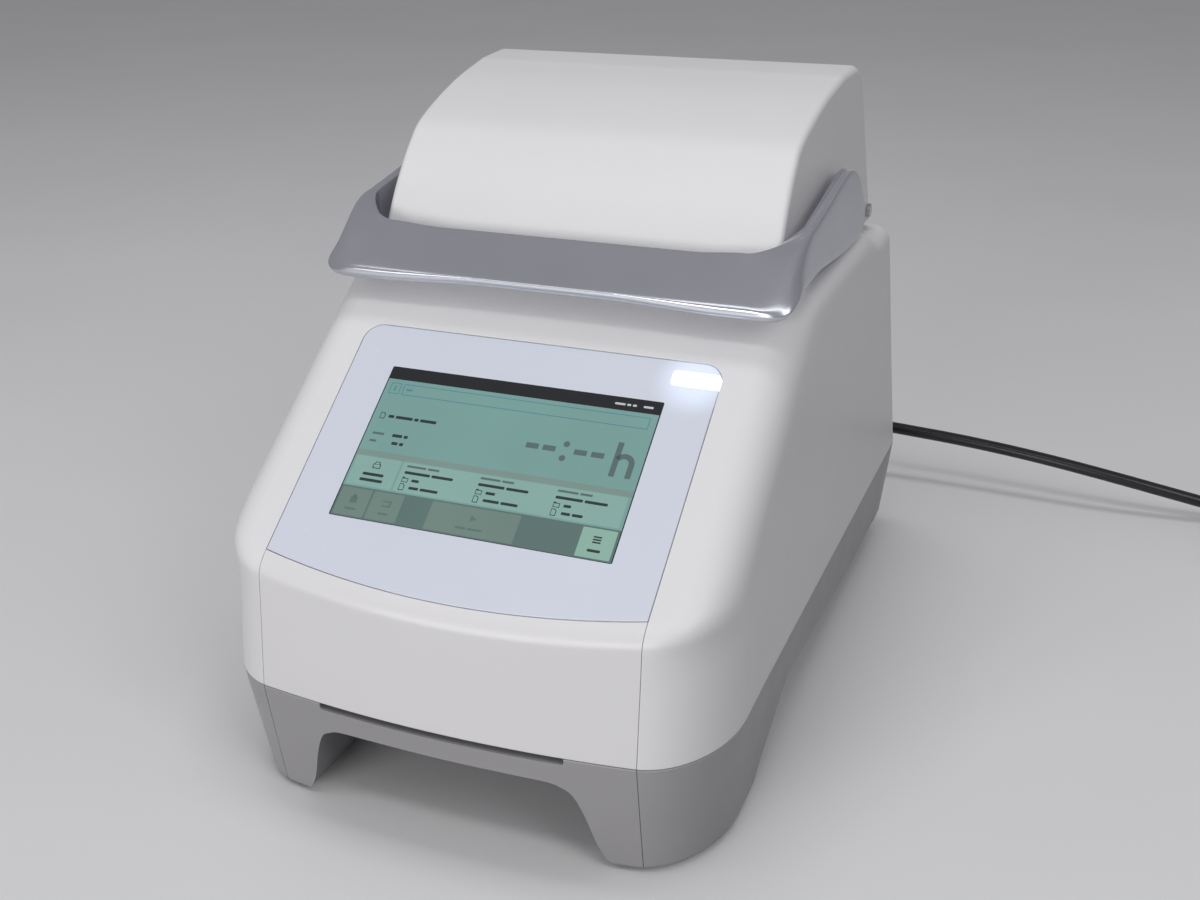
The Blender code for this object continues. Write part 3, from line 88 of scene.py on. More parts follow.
# White housing
SPLIT_Z = 66.8
FRONT_Y, REAR_Y = -215.0, 215.0
HALF_WIDTH = 133.5
REAR_FLARE = 4.0
FLARE_LOSS = 0.6                # share of the flare that is gone at the deck
SIDE_START_Y, SIDE_RUN = -115.0, 330.0
SIDE_DRAFT = 0.021
FRONT_BULGE_R = 689.0
FRONT_LEAN = math.tan(math.radians(6.25))
REAR_LEAN = math.tan(math.radians(14.7))
DECK_Z = 239.0
DECK_EDGE_R = 10.0
DECK_DROP = 10.0
DECK_DROP_Y = (96.0, 132.0)
LOWER_CORNER = (37.0, 50.0)
SLOPE_CORNER = (22.0, 38.0)
CORNER_CHANGE_Z = (112.0, 150.0)
REAR_CORNER_R = 14.0
BEND_REACH = 7.0
RIM_R = 0.7                     # rounding of the two shells' rims where they meet
PANEL_TOP_Z = (137.1, 137.4)    # the front panel's top edge, and the edge above it
REAR_MIDDLE_Z = 140.0
GRILLE_HALF, GRILLE_CORNER_R = (84.3, 46.3), 6.3
BLOCK_HOLE_HALF = (72, 50)
LATCH_HOLE = ((-13, -36, 215), (13, -7, 250))

# Display
SLOPE_ANGLE = math.radians(35.4)
SLOPE_Y, SLOPE_Z = -193.4, 136.0
GLASS_HALF = 97.8
GLASS_LENGTH = 137.3
GLASS_SAG = 10.5
GLASS_CORNER_R = 10.0
GLASS_THICK = 3.0
GLASS_PROUD = 0.2
SEAM_X = 98.0
WINDOW_HALF = 73.7
WINDOW_S = (23.8, 112.5)
LIGHT_U, LIGHT_S = (73.3, 97.5), (123.3, 131.7)
LIGHT_SPILL = 9.0               # the light's room runs out past the glass's edge
GLASS_TINTS = ((0.665, 0.705, 0.80), (0.69, 0.73, 0.825))
GLOW_COLOUR = (0.62, 0.76, 1.0, 1.0)
GLOW_STRENGTH, GLOW_REACH = 0.35, (0.004, 0.026)

# Grey base
BASE_Z = 2.3
BASE_REAR_RISE = 14.7
BASE_RISE_Y = (-60.0, 100.0)
BASE_FRONT_TUCK, BASE_SIDE_TUCK, BASE_REAR_TUCK = 10.0, 4.5, 10.0
BASE_EDGE = 3.0
ARCH_TOP_Z = 51.4
FRONT_LEG_REAR_Y = -112.0
REAR_FLOOR_Y = 176.0
GROOVE_HALF, GROOVE_DEPTH = 64.0, 3.5
ARCH_HALF = ((89.0, -5.0), (89.0, BASE_Z), (84.5, 3.4), (81.0, 6.0), (76.6, 15.5), (71.8, 32.5), (66.8, 44.5),
             (61.5, 48.6), (54.0, 50.8), (30.0, ARCH_TOP_Z))
ARCH_POCKET_HALF = ((94.5, 59.5), (94.5, 8.6), (86.0, 7.6), (80.0, 17.0), (75.0, 33.8), (69.8, 46.8),
                    (63.0, 51.8), (54.6, 54.0), (30.0, ARCH_TOP_Z + WALL))
SIDE_ARCH = ((-123, -5), (-120, BASE_Z), (-115.5, 6.0), (-109, 11), (-66, 37.4), (-63, 38.8), (-59, 38.9),
             (-12, 35), (105, 23.5), (168, 20.4), (REAR_FLOOR_Y, 18.3), (REAR_FLOOR_Y, -5))
PANEL_X, PANEL_Z = (-36.0, 106.0), (21.5, 64.5)

# Lid and handle
LID_SIDE = (127.8, 0.0374, -0.0602)   # half width at the origin, its growth to the rear and upwards
LID_TOP_Z = 330.0
LID_FRONT = ((-42.0, 243.0), (-37.0, 256.0), (-31.0, 267.5), (-22.0, 281.0), (-8.0, 297.0), (8.0, 308.5),
             (50.0, 321.5), (92.0, 328.8))
LID_REAR_LEAN = math.atan2(19.0, 86.0)
LID_FOOT = ((155.0, 234.4), (132.0, 234.4), (94.0, 240.3))
LID_EDGE_R, LID_REAR_EDGE_R, LID_REAR_TOP_R = 3.5, 5.0, 20.0
HINGE = (145.5, 241.0)
HINGE_PIN_R = 2.5
BRACKET_X = (88.0, 96.0)
NOTCH_Y, NOTCH_TOP = (140, 170), 8.5
PIN_HOLE_X, PIN_HOLE_LENGTH = 116, 20.0
HANDLE_HALF, ARM_INNER = 127.0, 119.5
HANDLE_AXIS = (86.0, 254.0)
HANDLE_PIN_R = 4.0
HANDLE_CORNER = (97.5, -25.5)
LIP_DIP = 2.4
LIP_FLARE = 2.5
LIP_LEAD = 0.25
CREST_RISE = 1.6
ARM_TOP = ((-42.0, 268.2), (-26.0, 272.6), (0.0, 276.4), (30.0, 281.2), (50.0, 283.6), (62.0, 282.4),
           (73.0, 278.9), (83.0, 273.2), (91.0, 265.6), (96.5, 257.3), (98.6, 251.0))
ARM_LOW = ((-60.0, 243.2), (-44.0, 246.4), (-23.0, 248.0), (-1.0, 246.6), (23.0, 244.2), (46.0, 242.2),
           (70.0, 241.0), (84.0, 240.9), (92.0, 242.6), (96.8, 246.0), (98.6, 251.0))
BAR_SECTION = ((-51.4, 261.4, 1.2), (-52.5, 261.9, 1.1), (-64.0, 254.3, 0.75), (-76.4, 246.4, 0.5),
               (-77.9, 244.4, 0.34), (-77.6, 242.0, 0.32), (-75.5, 240.2, 0.32), (-72.0, 239.8, 0.34),
               (-69.0, 241.4, 0.45), (-58.0, 248.6, 0.8), (-49.5, 254.6, 1.2), (-49.8, 258.8, 1.2))
LIP_SHARE = (0.0, 0.0, 0.0, 0.35, 1.0, 1.0, 0.9, 0.8, 0.6, 0.0, 0.0, 0.0)
CREST_SHARE = (1.0, 1.0, 0.5, 0.0, 0.0, 0.0, 0.0, 0.0, 0.0, 0.5, 1.0, 1.0)

# Block
BLOCK_Y = 52.0
BLOCK_HALF = (63.5, 42.5)
BLOCK_Z = (205.0, 231.0)
WELL_PITCH, WELL_ROWS, WELL_COLUMNS = 9.0, 8, 12
WELL_TOP_R, WELL_LOW_R, WELL_DEPTH = 3.3, 1.6, 17.0

# Mains lead
CORD_D = 8.4
CORD_ROUTE = (
    (80.0, 254.3, 44.0), (80.3, 260.0, 44.0), (82.0, 266.6, 43.8), (85.6, 273.6, 43.5), (91.0, 280.0, 43.1),
    (98.0, 285.2, 42.6), (106.5, 288.7, 42.1), (118.0, 290.2, 41.4), (140.0, 290.0, 40.4),
    (165.0, 289.6, 39.2), (190.0, 288.8, 37.6), (215.0, 287.6, 35.7), (240.0, 286.4, 33.2),
    (265.0, 285.8, 30.0), (290.0, 286.4, 26.0), (315.0, 288.4, 21.2), (340.0, 291.8, 15.8),
    (362.0, 295.6, 10.8), (382.0, 298.6, 7.4), (397.0, 300.0, 6.1), (410.0, 300.2, 6.0),
)
COIL_TURNS, COIL_PITCH, COIL_OUTER_R = 5.25, 8.95, 56.0
COIL_LOOP_POINTS = 24
COIL_TAIL = 32.0


# Small geometry helpers

def mm(*values):
    return Vector(values) * MM


def fade(start, end, value):
    """Smooth step from 0 at start to 1 at end."""
    t = min(max((value - start) / (end - start), 0.0), 1.0)
    return t * t * (3.0 - 2.0 * t)


def even(start, end, steps):
    return [start + (end - start) * i / steps for i in range(steps + 1)]


def arc(centre, radius, start, end, steps):
    """Points on an arc, with angles in degrees."""
    angles = [math.radians(a) for a in even(start, end, steps)]
    return [(centre[0] + radius * math.cos(a), centre[1] + radius * math.sin(a)) for a in angles]


def rounded_rectangle(low, high, radius, steps=6):
    (x0, y0), (x1, y1) = low, high
    return (arc((x1 - radius, y1 - radius), radius, 0, 90, steps)
            + arc((x0 + radius, y1 - radius), radius, 90, 180, steps)
            + arc((x0 + radius, y0 + radius), radius, 180, 270, steps)
            + arc((x1 - radius, y0 + radius), radius, 270, 360, steps))


def mirrored(half):
    return list(half) + [(-x, z) for x, z in reversed(half)]


def smooth_path(points, steps, closed=False):
    """Catmull-Rom curve through points of any dimension, with steps to a stretch."""
    points = [Vector(p) for p in points]
    if closed:
        ends = [points[-1]] + points + points[:2]
    else:
        ends = [2 * points[0] - points[1]] + points + [2 * points[-1] - points[-2]]
    path = []
    for a, b, c, d in zip(ends, ends[1:], ends[2:], ends[3:]):
        for i in range(steps):
            t = i / steps
            path.append(0.5 * (2 * b + (c - a) * t + (2 * a - 5 * b + 4 * c - d) * t * t
                               + (3 * b - a - 3 * c + d) * t * t * t))
    return path if closed else path + [points[-1]]


def make_object(name, shape, smooth_angle=35):
    """Object of a bmesh in metres, with its faces pointing out."""
    bmesh.ops.recalc_face_normals(shape, faces=shape.faces)
    mesh = bpy.data.meshes.new(name)
    shape.to_mesh(mesh)
    shape.free()
    mesh.shade_smooth()
    mesh.set_sharp_from_angle(angle=math.radians(smooth_angle))
    obj = bpy.data.objects.new(name, mesh)
    bpy.context.scene.collection.objects.link(obj)
    return obj


def box(name, low, high, edge=0.0, segments=3):
    shape = bmesh.new()
    bmesh.ops.create_cube(shape, size=1.0)
    bmesh.ops.scale(shape, vec=mm(*(b - a for a, b in zip(low, high))), verts=shape.verts)
    bmesh.ops.translate(shape, vec=mm(*((a + b) / 2 for a, b in zip(low, high))), verts=shape.verts)
    if edge:
        bmesh.ops.bevel(shape, geom=shape.edges[:], offset=edge * MM, segments=segments, profile=0.5,
                        affect="EDGES")
    return make_object(name, shape)


def rod(name, axis, centre, radius, length, sides=32):
    shape = bmesh.new()
    bmesh.ops.create_cone(shape, cap_ends=True, segments=sides, radius1=radius * MM, radius2=radius * MM,
                          depth=length * MM)
    turn = {"X": Matrix.Rotation(math.pi / 2, 3, "Y"), "Y": Matrix.Rotation(-math.pi / 2, 3, "X"),
            "Z": Matrix.Identity(3)}[axis]
    bmesh.ops.rotate(shape, cent=(0.0, 0.0, 0.0), matrix=turn, verts=shape.verts)
    bmesh.ops.translate(shape, vec=mm(*centre), verts=shape.verts)
    return make_object(name, shape)


def on_slope(u, s, h):
    """Place on the display slope: across, up along it, and out from it."""
    up = Vector((0.0, math.cos(SLOPE_ANGLE), math.sin(SLOPE_ANGLE)))
    out = Vector((0.0, -math.sin(SLOPE_ANGLE), math.cos(SLOPE_ANGLE)))
    return Vector((u, SLOPE_Y, SLOPE_Z)) + up * s + out * h


def on_rear(u, v, h):
    """Place on the leaning rear wall: across, up along it, and out from it."""
    lean = math.atan(REAR_LEAN)
    middle = Vector((0.0, REAR_Y - REAR_LEAN * (REAR_MIDDLE_Z - SPLIT_Z), REAR_MIDDLE_Z))
    up = Vector((0.0, -math.sin(lean), math.cos(lean)))
    out = Vector((0.0, math.cos(lean), math.sin(lean)))
    return middle + Vector((-u, 0.0, 0.0)) + up * v + out * h


SPOTS = {
    "xy": lambda u, v, h: Vector((u, v, h)),
    "yz": lambda u, v, h: Vector((h, u, v)),
    "xz": lambda u, v, h: Vector((u, -h, v)),
    "slope": on_slope,
    "rear": on_rear,
}


def add_prism(shape, outline, plane, low, high, material=0):
    """Closed prism of an outline between two heights, added to a bmesh."""
    spot = SPOTS[plane]
    bottom = [shape.verts.new(spot(u, v, low) * MM) for u, v in outline]
    top = [shape.verts.new(spot(u, v, high) * MM) for u, v in outline]
    count = len(outline)
    faces = [shape.faces.new(top), shape.faces.new(bottom[::-1])]
    for i in range(count):
        j = (i + 1) % count
        faces.append(shape.faces.new((bottom[i], bottom[j], top[j], top[i])))
    for face in faces:
        face.material_index = material


def prism(name, outline, plane, low, high):
    shape = bmesh.new()
    add_prism(shape, outline, plane, low, high)
    return make_object(name, shape)


def combine(target, operation, tools):
    for tool in tools:
        modifier = target.modifiers.new(operation.lower(), "BOOLEAN")
        modifier.operation = operation
        modifier.object = tool
        modifier.solver = "EXACT"
    return target


def bake(obj, *tools, smooth_angle=35):
    """Apply an object's modifiers, remove the tools they used and set its shading again."""
    bpy.context.view_layer.update()
    evaluated = obj.evaluated_get(bpy.context.evaluated_depsgraph_get())
    mesh = bpy.data.meshes.new_from_object(evaluated)
    obj.modifiers.clear()
    obj.data = mesh
    mesh.shade_smooth()
    mesh.set_sharp_from_angle(angle=math.radians(smooth_angle))
    for tool in tools:
        bpy.data.objects.remove(tool, do_unlink=True)
    return obj


def round_edges(obj, width, segments=3, angle=50):
    bevel = obj.modifiers.new("edge", "BEVEL")
    bevel.width = width * MM
    bevel.segments = segments
    bevel.limit_method = "ANGLE"
    bevel.angle_limit = math.radians(angle)
    return bake(obj)


def dress(obj, material, body, *nodes, slot=None):
    """Give a finished piece its material and its body, and hide the nodes it stands for; the slot argument is
    not used.
    """
    obj.data.materials.clear()
    obj.data.materials.append(material)
    if obj.type == "MESH":
        normals = obj.modifiers.new("normals", "WEIGHTED_NORMAL")
        normals.keep_sharp = True
    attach(obj, body)
    if nodes:
        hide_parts(*nodes)
    return obj


# Materials

def base_material(name, roughness, metallic=0.0):
    material = bpy.data.materials.new(name)
    material.use_nodes = True
    nodes, links = material.node_tree.nodes, material.node_tree.links
    shader = nodes["Principled BSDF"]
    shader.inputs["Roughness"].default_value = roughness
    shader.inputs["Metallic"].default_value = metallic
    place = nodes.new("ShaderNodeTexCoord")
    return material, nodes, links, shader, place.outputs["Object"]


def noise(nodes, links, place, scale, detail=3.0, roughness=0.5, stretch=None):
    if stretch:
        mapping = nodes.new("ShaderNodeMapping")
        mapping.inputs["Scale"].default_value = stretch
        links.new(place, mapping.inputs["Vector"])
        place = mapping.outputs["Vector"]
    texture = nodes.new("ShaderNodeTexNoise")
    texture.inputs["Scale"].default_value = scale
    texture.inputs["Detail"].default_value = detail
    texture.inputs["Roughness"].default_value = roughness
    links.new(place, texture.inputs["Vector"])
    return texture.outputs["Fac"]


def spread(nodes, links, value, low, high, start=0.3, end=0.7):
    remap = nodes.new("ShaderNodeMapRange")
    remap.inputs["From Min"].default_value = start
    remap.inputs["From Max"].default_value = end
    remap.inputs["To Min"].default_value = low
    remap.inputs["To Max"].default_value = high
    links.new(value, remap.inputs["Value"])
    return remap.outputs["Result"]


def two_tone(nodes, links, value, first, second):
    mix = nodes.new("ShaderNodeMix")
    mix.data_type = "RGBA"
    mix.inputs["A"].default_value = (*first, 1.0)
    mix.inputs["B"].default_value = (*second, 1.0)
    links.new(value, mix.inputs["Factor"])
    return mix.outputs["Result"]


def scaled(colour, share):
    return tuple(min(c * share, 1.0) for c in colour)


def textured(name, colour, roughness, metallic=0.0, mottle=0.03, mottle_scale=9.0, grain_scale=1800.0,
             grain=0.08, grain_depth=0.05, roughness_spread=0.05, stretch=None, coat=0.0, speck=0.0):
    """Surface with cloudy tone, uneven gloss and a fine moulded, cast or brushed grain."""
    material, nodes, links, shader, place = base_material(name, roughness, metallic)
    cloud = spread(nodes, links, noise(nodes, links, place, mottle_scale, 4.0), 0.0, 1.0)
    tone = two_tone(nodes, links, cloud, scaled(colour, 1.0 - mottle), scaled(colour, 1.0 + mottle))
    fine = noise(nodes, links, place, grain_scale, 2.0, 0.6, stretch)
    if speck:
        flake = nodes.new("ShaderNodeMix")
        flake.data_type = "RGBA"
        flake.blend_type = "MULTIPLY"
        flake.inputs["Factor"].default_value = 1.0
        links.new(tone, flake.inputs["A"])
        flakes = spread(nodes, links, fine, 0.0, 1.0)
        links.new(two_tone(nodes, links, flakes, (1.0 - speck,) * 3, (1.0,) * 3), flake.inputs["B"])
        tone = flake.outputs["Result"]
    links.new(tone, shader.inputs["Base Color"])
    worn = noise(nodes, links, place, mottle_scale * 5.0, 5.0, 0.65)
    links.new(spread(nodes, links, worn, roughness - roughness_spread, roughness + roughness_spread),
              shader.inputs["Roughness"])
    bump = nodes.new("ShaderNodeBump")
    bump.inputs["Strength"].default_value = grain
    bump.inputs["Distance"].default_value = grain_depth * MM
    links.new(fine, bump.inputs["Height"])
    links.new(bump.outputs["Normal"], shader.inputs["Normal"])
    if coat:
        shader.inputs["Coat Weight"].default_value = coat
        shader.inputs["Coat Roughness"].default_value = 0.06
    return material


WHITE = (0.78, 0.775, 0.79)
PANEL_WHITE = (0.76, 0.75, 0.765)
MATERIALS = {
    "white": textured("white_plastic", WHITE, 0.40, mottle=0.015, grain=0.16),
    "panel_white": textured("panel_plastic", PANEL_WHITE, 0.36, mottle=0.012, grain=0.12),
    "base_grey": textured("base_plastic", (0.36, 0.353, 0.37), 0.42, mottle=0.04, grain=0.25),
    "silver": textured("handle_paint", (0.57, 0.58, 0.64), 0.22, metallic=0.75, mottle=0.02, grain=0.05,
                       grain_scale=3200.0, speck=0.10, roughness_spread=0.03),
    "board": textured("board_lacquer", (0.02, 0.15, 0.06), 0.35, mottle=0.25, mottle_scale=60.0, coat=0.4),
    "black": textured("black_plastic", (0.028, 0.028, 0.030), 0.48, mottle=0.12, grain=0.3),
    "rubber": textured("foot_rubber", (0.030, 0.030, 0.031), 0.78, mottle=0.2, grain=0.4, grain_scale=900.0),
    "steel": textured("turned_steel", (0.56, 0.57, 0.58), 0.28, metallic=1.0, mottle=0.05, grain=0.1),
    "zinc": textured("zinc_sheet", (0.46, 0.47, 0.49), 0.40, metallic=1.0, mottle=0.10, mottle_scale=40.0),
    "block_silver": textured("block_plating", (0.74, 0.74, 0.75), 0.24, metallic=1.0, mottle=0.04,
                             grain=0.12),
    "aluminium": textured("milled_aluminium", (0.60, 0.61, 0.62), 0.34, metallic=1.0, mottle=0.04, grain=0.2,
                          grain_scale=160.0, stretch=(1.0, 14.0, 14.0)),
    "ceramic": textured("module_ceramic", (0.80, 0.79, 0.75), 0.60, mottle=0.05, grain=0.3),
    "seal": textured("seal_foam", (0.10, 0.10, 0.105), 0.85, mottle=0.2, grain=0.6, grain_scale=700.0),
    "cord": textured("cord_jacket", (0.016, 0.016, 0.018), 0.30, mottle=0.15, mottle_scale=30.0, grain=0.15,
                     grain_scale=900.0),
}


def lit_surface(name, colour, glow, roughness=0.35, coat=0.25, ripple=0.03):
    """Part of the lit screen: printed colour, its own light and the cover's gloss."""
    material, nodes, links, shader, place = base_material(name, roughness)
    cell = spread(nodes, links, noise(nodes, links, place, 24.0, 2.0), 0.0, 1.0)
    tone = two_tone(nodes, links, cell, scaled(colour, 1.0 - ripple), scaled(colour, 1.0 + ripple))
    links.new(tone, shader.inputs["Base Color"])
    links.new(tone, shader.inputs["Emission Color"])
    shader.inputs["Emission Strength"].default_value = glow
    shader.inputs["Coat Weight"].default_value = coat
    shader.inputs["Coat Roughness"].default_value = 0.05
    return material


def glass_material():
    """Pale printed glass, with a bluish glow round the status light."""
    material, nodes, links, shader, place = base_material("cover_glass", 0.22)
    cloud = spread(nodes, links, noise(nodes, links, place, 7.0, 3.0), 0.0, 1.0)
    tone = two_tone(nodes, links, cloud, *GLASS_TINTS)
    links.new(tone, shader.inputs["Base Color"])
    smear = noise(nodes, links, place, 30.0, 6.0, 0.7)
    links.new(spread(nodes, links, smear, 0.16, 0.30), shader.inputs["Roughness"])
    middle = on_slope(sum(LIGHT_U) / 2, sum(LIGHT_S) / 2, 0.0) * MM
    away = nodes.new("ShaderNodeVectorMath")
    away.operation = "DISTANCE"
    away.inputs[1].default_value = middle
    links.new(place, away.inputs[0])
    glow = nodes.new("ShaderNodeMapRange")
    glow.interpolation_type = "SMOOTHERSTEP"
    glow.inputs["From Min"].default_value, glow.inputs["From Max"].default_value = GLOW_REACH
    glow.inputs["To Min"].default_value, glow.inputs["To Max"].default_value = GLOW_STRENGTH, 0.0
    links.new(away.outputs["Value"], glow.inputs["Value"])
    shader.inputs["Emission Color"].default_value = GLOW_COLOUR
    links.new(glow.outputs["Result"], shader.inputs["Emission Strength"])
    shader.inputs["Coat Weight"].default_value = 0.3
    shader.inputs["Coat Roughness"].default_value = 0.04
    return material


# Camera and studio

def make_camera():
    forward = Vector((math.sin(CAMERA_AZIMUTH) * math.cos(CAMERA_DOWN),
                      math.cos(CAMERA_AZIMUTH) * math.cos(CAMERA_DOWN), -math.sin(CAMERA_DOWN)))
    level = forward.cross(Vector((0.0, 0.0, 1.0))).normalized()
    upright = level.cross(forward)
    right = level * math.cos(CAMERA_ROLL) + upright * math.sin(CAMERA_ROLL)
    up = upright * math.cos(CAMERA_ROLL) - level * math.sin(CAMERA_ROLL)
    data = bpy.data.cameras.new("photo_view")
    data.sensor_width = 36.0
    data.lens = CAMERA_LENS
    data.clip_start, data.clip_end = 0.01, 100.0
    camera = bpy.data.objects.new("photo_view", data)
    bpy.context.scene.collection.objects.link(camera)
    camera.matrix_world = (Matrix.Translation(mm(*CAMERA_PLACE))
                           @ Matrix((right, up, -forward)).transposed().to_4x4())
    bpy.context.scene.camera = camera


def area_light(name, place, aim, size, power, colour, in_reflections):
    data = bpy.data.lights.new(name, "AREA")
    data.shape = "RECTANGLE"
    data.size, data.size_y = size
    data.energy = power
    data.color = colour
    light = bpy.data.objects.new(name, data)
    bpy.context.scene.collection.objects.link(light)
    light.location = place
    light.rotation_mode = "QUATERNION"
    light.rotation_quaternion = (Vector(aim) - Vector(place)).to_track_quat("-Z", "Y")
    light.visible_glossy = in_reflections


def floor_material():
    """Pale floor, which throws back less light than the camera and reflections see."""
    material, nodes, links, shader, place = base_material("pale_floor", 0.6)
    cloud = spread(nodes, links, noise(nodes, links, place, 3.0, 3.0), 0.0, 1.0)
    pale = two_tone(nodes, links, cloud, FLOOR_SEEN, scaled(FLOOR_SEEN, 1.03))
    path = nodes.new("ShaderNodeLightPath")
    seen = nodes.new("ShaderNodeMath")
    seen.operation = "MAXIMUM"
    links.new(path.outputs["Is Camera Ray"], seen.inputs[0])
    links.new(path.outputs["Is Glossy Ray"], seen.inputs[1])
    either = nodes.new("ShaderNodeMath")
    either.operation = "MAXIMUM"
    links.new(seen.outputs["Value"], either.inputs[0])
    links.new(path.outputs["Is Transmission Ray"], either.inputs[1])
    mix = nodes.new("ShaderNodeMix")
    mix.data_type = "RGBA"
    mix.inputs["A"].default_value = (*FLOOR_BOUNCE, 1.0)
    links.new(pale, mix.inputs["B"])
    links.new(either.outputs["Value"], mix.inputs["Factor"])
    links.new(mix.outputs["Result"], shader.inputs["Base Color"])
    return material


def make_studio():
    scene = bpy.context.scene
    scene.view_settings.view_transform = "Standard"
    shape = bmesh.new()
    bmesh.ops.create_grid(shape, x_segments=8, y_segments=8, size=FLOOR_HALF)
    floor = make_object("studio_floor", shape)
    floor.data.materials.append(floor_material())
    world = bpy.data.worlds.new("studio")
    scene.world = world
    world.use_nodes = True
    background = world.node_tree.nodes["Background"]
    background.inputs["Color"].default_value = WORLD_COLOUR
    background.inputs["Strength"].default_value = WORLD_STRENGTH
    for light in LIGHTS:
        area_light(*light)


# Mains lead

def coil_points():
    """In along the lower layer, out along the upper one, with straight ends."""
    start = Vector(CORD_ROUTE[-1]) + Vector((GAP, 0.0, 0.0))
    centre = start + Vector((CORD_D, -COIL_OUTER_R, 0.0))
    steps = round(COIL_TURNS * COIL_LOOP_POINTS)
    half = COIL_TURNS / 2
    points = [start]
    for i in range(steps + 1):
        turn = COIL_TURNS * i / steps
        radius = COIL_OUTER_R - COIL_PITCH * (half - abs(turn - half))
        angle = math.pi / 2 - 2 * math.pi * turn
        climb = COIL_PITCH * fade(half - 0.25, half + 0.25, turn)
        points.append(centre + Vector((radius * math.cos(angle), radius * math.sin(angle), climb)))
    out = Vector((math.sin(angle), -math.cos(angle), 0.0))
    points.append(points[-1] + out * COIL_TAIL)
    return points


def make_cord():
    """The lead as one tube: from the strain relief along the bench and round its coil to the plug."""
    points = smooth_path(CORD_ROUTE, 3)[:-1] + coil_points()
    points = [p for i, p in enumerate(points) if i == 0 or (p - points[i - 1]).length > 1.0]
    curve = bpy.data.curves.new("mains_lead", "CURVE")
    curve.dimensions = "3D"
    curve.bevel_depth = CORD_D / 2 * MM
    curve.bevel_resolution = 6
    curve.use_fill_caps = True
    spline = curve.splines.new("POLY")
    spline.points.add(len(points) - 1)
    for point, co in zip(spline.points, points):
        point.co = (*(co * MM), 1.0)
    spline.use_smooth = True
    lead = bpy.data.objects.new("mains_lead", curve)
    bpy.context.scene.collection.objects.link(lead)
    dress(lead, MATERIALS["cord"], "base", "power_cord", "cord_coil", slot="cord")


make_camera()
make_studio()
make_cord()


# White housing and front panel

def smooth_max(a, b, reach):
    overlap = max(reach - abs(a - b), 0.0) / reach
    return max(a, b) + overlap * overlap * reach / 4.0


def housing_front(x, z):
    face = FRONT_Y + x * x / (2 * FRONT_BULGE_R) + FRONT_LEAN * (z - SPLIT_Z)
    slope = SLOPE_Y + (z - SLOPE_Z) / math.tan(SLOPE_ANGLE)
    return smooth_max(face, slope, BEND_REACH)


def side_x(y, z):
    rise = (z - SPLIT_Z) / (DECK_Z - SPLIT_Z)
    along = min(max((y - SIDE_START_Y) / SIDE_RUN, 0.0), 1.0)
    return HALF_WIDTH + REAR_FLARE * along * (1.0 - FLARE_LOSS * rise) - SIDE_DRAFT * (z - SPLIT_Z)


def plan_ring(front, side, rear, corner, rear_r, flats=20, turns=18, rows=34, rear_turns=8):
    """Closed plan outline, from the front centre round the right side to the rear and back."""
    corner_x, corner_y = corner
    flat = side(SIDE_START_Y) - corner_x
    right = [(flat * i / flats, front(flat * i / flats)) for i in range(flats + 1)]
    for k in range(1, turns + 1):
        angle = math.pi / 2 * k / turns
        x = flat + corner_x * math.sin(angle)
        right.append((x, front(x) + corner_y * (1.0 - math.cos(angle))))
    end = rear - rear_r
    right += [(side(y), y) for y in even(right[-1][1], end, rows)[1:-1]]
    for k in range(rear_turns + 1):
        angle = math.pi / 2 * k / rear_turns
        right.append((side(end) - rear_r * (1.0 - math.cos(angle)), end + rear_r * math.sin(angle)))
    return right + [(-x, y) for x, y in reversed(right[1:])]


def rim_levels(z, up):
    """Heights and insets of a rounded rim that starts at z and goes up or down."""
    turns = [math.pi / 2 * k / 4 for k in range(5)]
    return [(z + up * RIM_R * (1.0 - math.cos(a)), RIM_R * (1.0 - math.sin(a))) for a in turns]


def housing_levels():
    levels = rim_levels(SPLIT_Z + GAP / 2, 1.0)
    levels += [(z, 0.0) for z in even(72.0, 120.0, 8) + even(121.0, 142.0, 21) + even(145.0, 226.0, 18)]
    for k in range(9):
        angle = math.pi / 2 * k / 8
        levels.append((DECK_Z - DECK_EDGE_R * (1.0 - math.sin(angle)), DECK_EDGE_R * (1.0 - math.cos(angle))))
    return levels


def housing_ring(z, inset):
    change = fade(*CORNER_CHANGE_Z, z)
    corner = [a + (b - a) * change - inset for a, b in zip(LOWER_CORNER, SLOPE_CORNER)]
    rear = REAR_Y - REAR_LEAN * (z - SPLIT_Z) - inset
    plan = plan_ring(lambda x: housing_front(x, z) + inset, lambda y: side_x(y, z) - inset, rear, corner,
                     max(REAR_CORNER_R - inset, 3.0))
    drop = DECK_DROP * (z - SPLIT_Z) / (DECK_Z - SPLIT_Z)
    return [(x, y, z - drop * fade(*DECK_DROP_Y, y)) for x, y in plan]


def loft(name, rings, open_low=False):
    """Skin over matching rings; the ends are closed by strips from the left side to the right."""
    shape = bmesh.new()
    loops = [[shape.verts.new(mm(*p)) for p in ring] for ring in rings]
    count = len(loops[0])
    for low, high in zip(loops, loops[1:]):
        for i in range(count):
            j = (i + 1) % count
            shape.faces.new((low[i], low[j], high[j], high[i]))
    for ring in ([loops[-1]] if open_low else [loops[0], loops[-1]]):
        row = [ring[0]]
        for i in range(1, count // 2 + 1):
            left, right = ring[-i], ring[i]
            if abs(right.co.y - row[0].co.y) < 0.01 * MM:
                row = [left] + row + [right]
            else:
                shape.faces.new(row + [right, left])
                row = [left, right]
    return make_object(name, shape)


def add_wall(skin, thickness=WALL):
    solidify = skin.modifiers.new("wall", "SOLIDIFY")
    solidify.thickness = thickness * MM
    solidify.offset = -1.0
    solidify.use_even_offset = True
    return skin


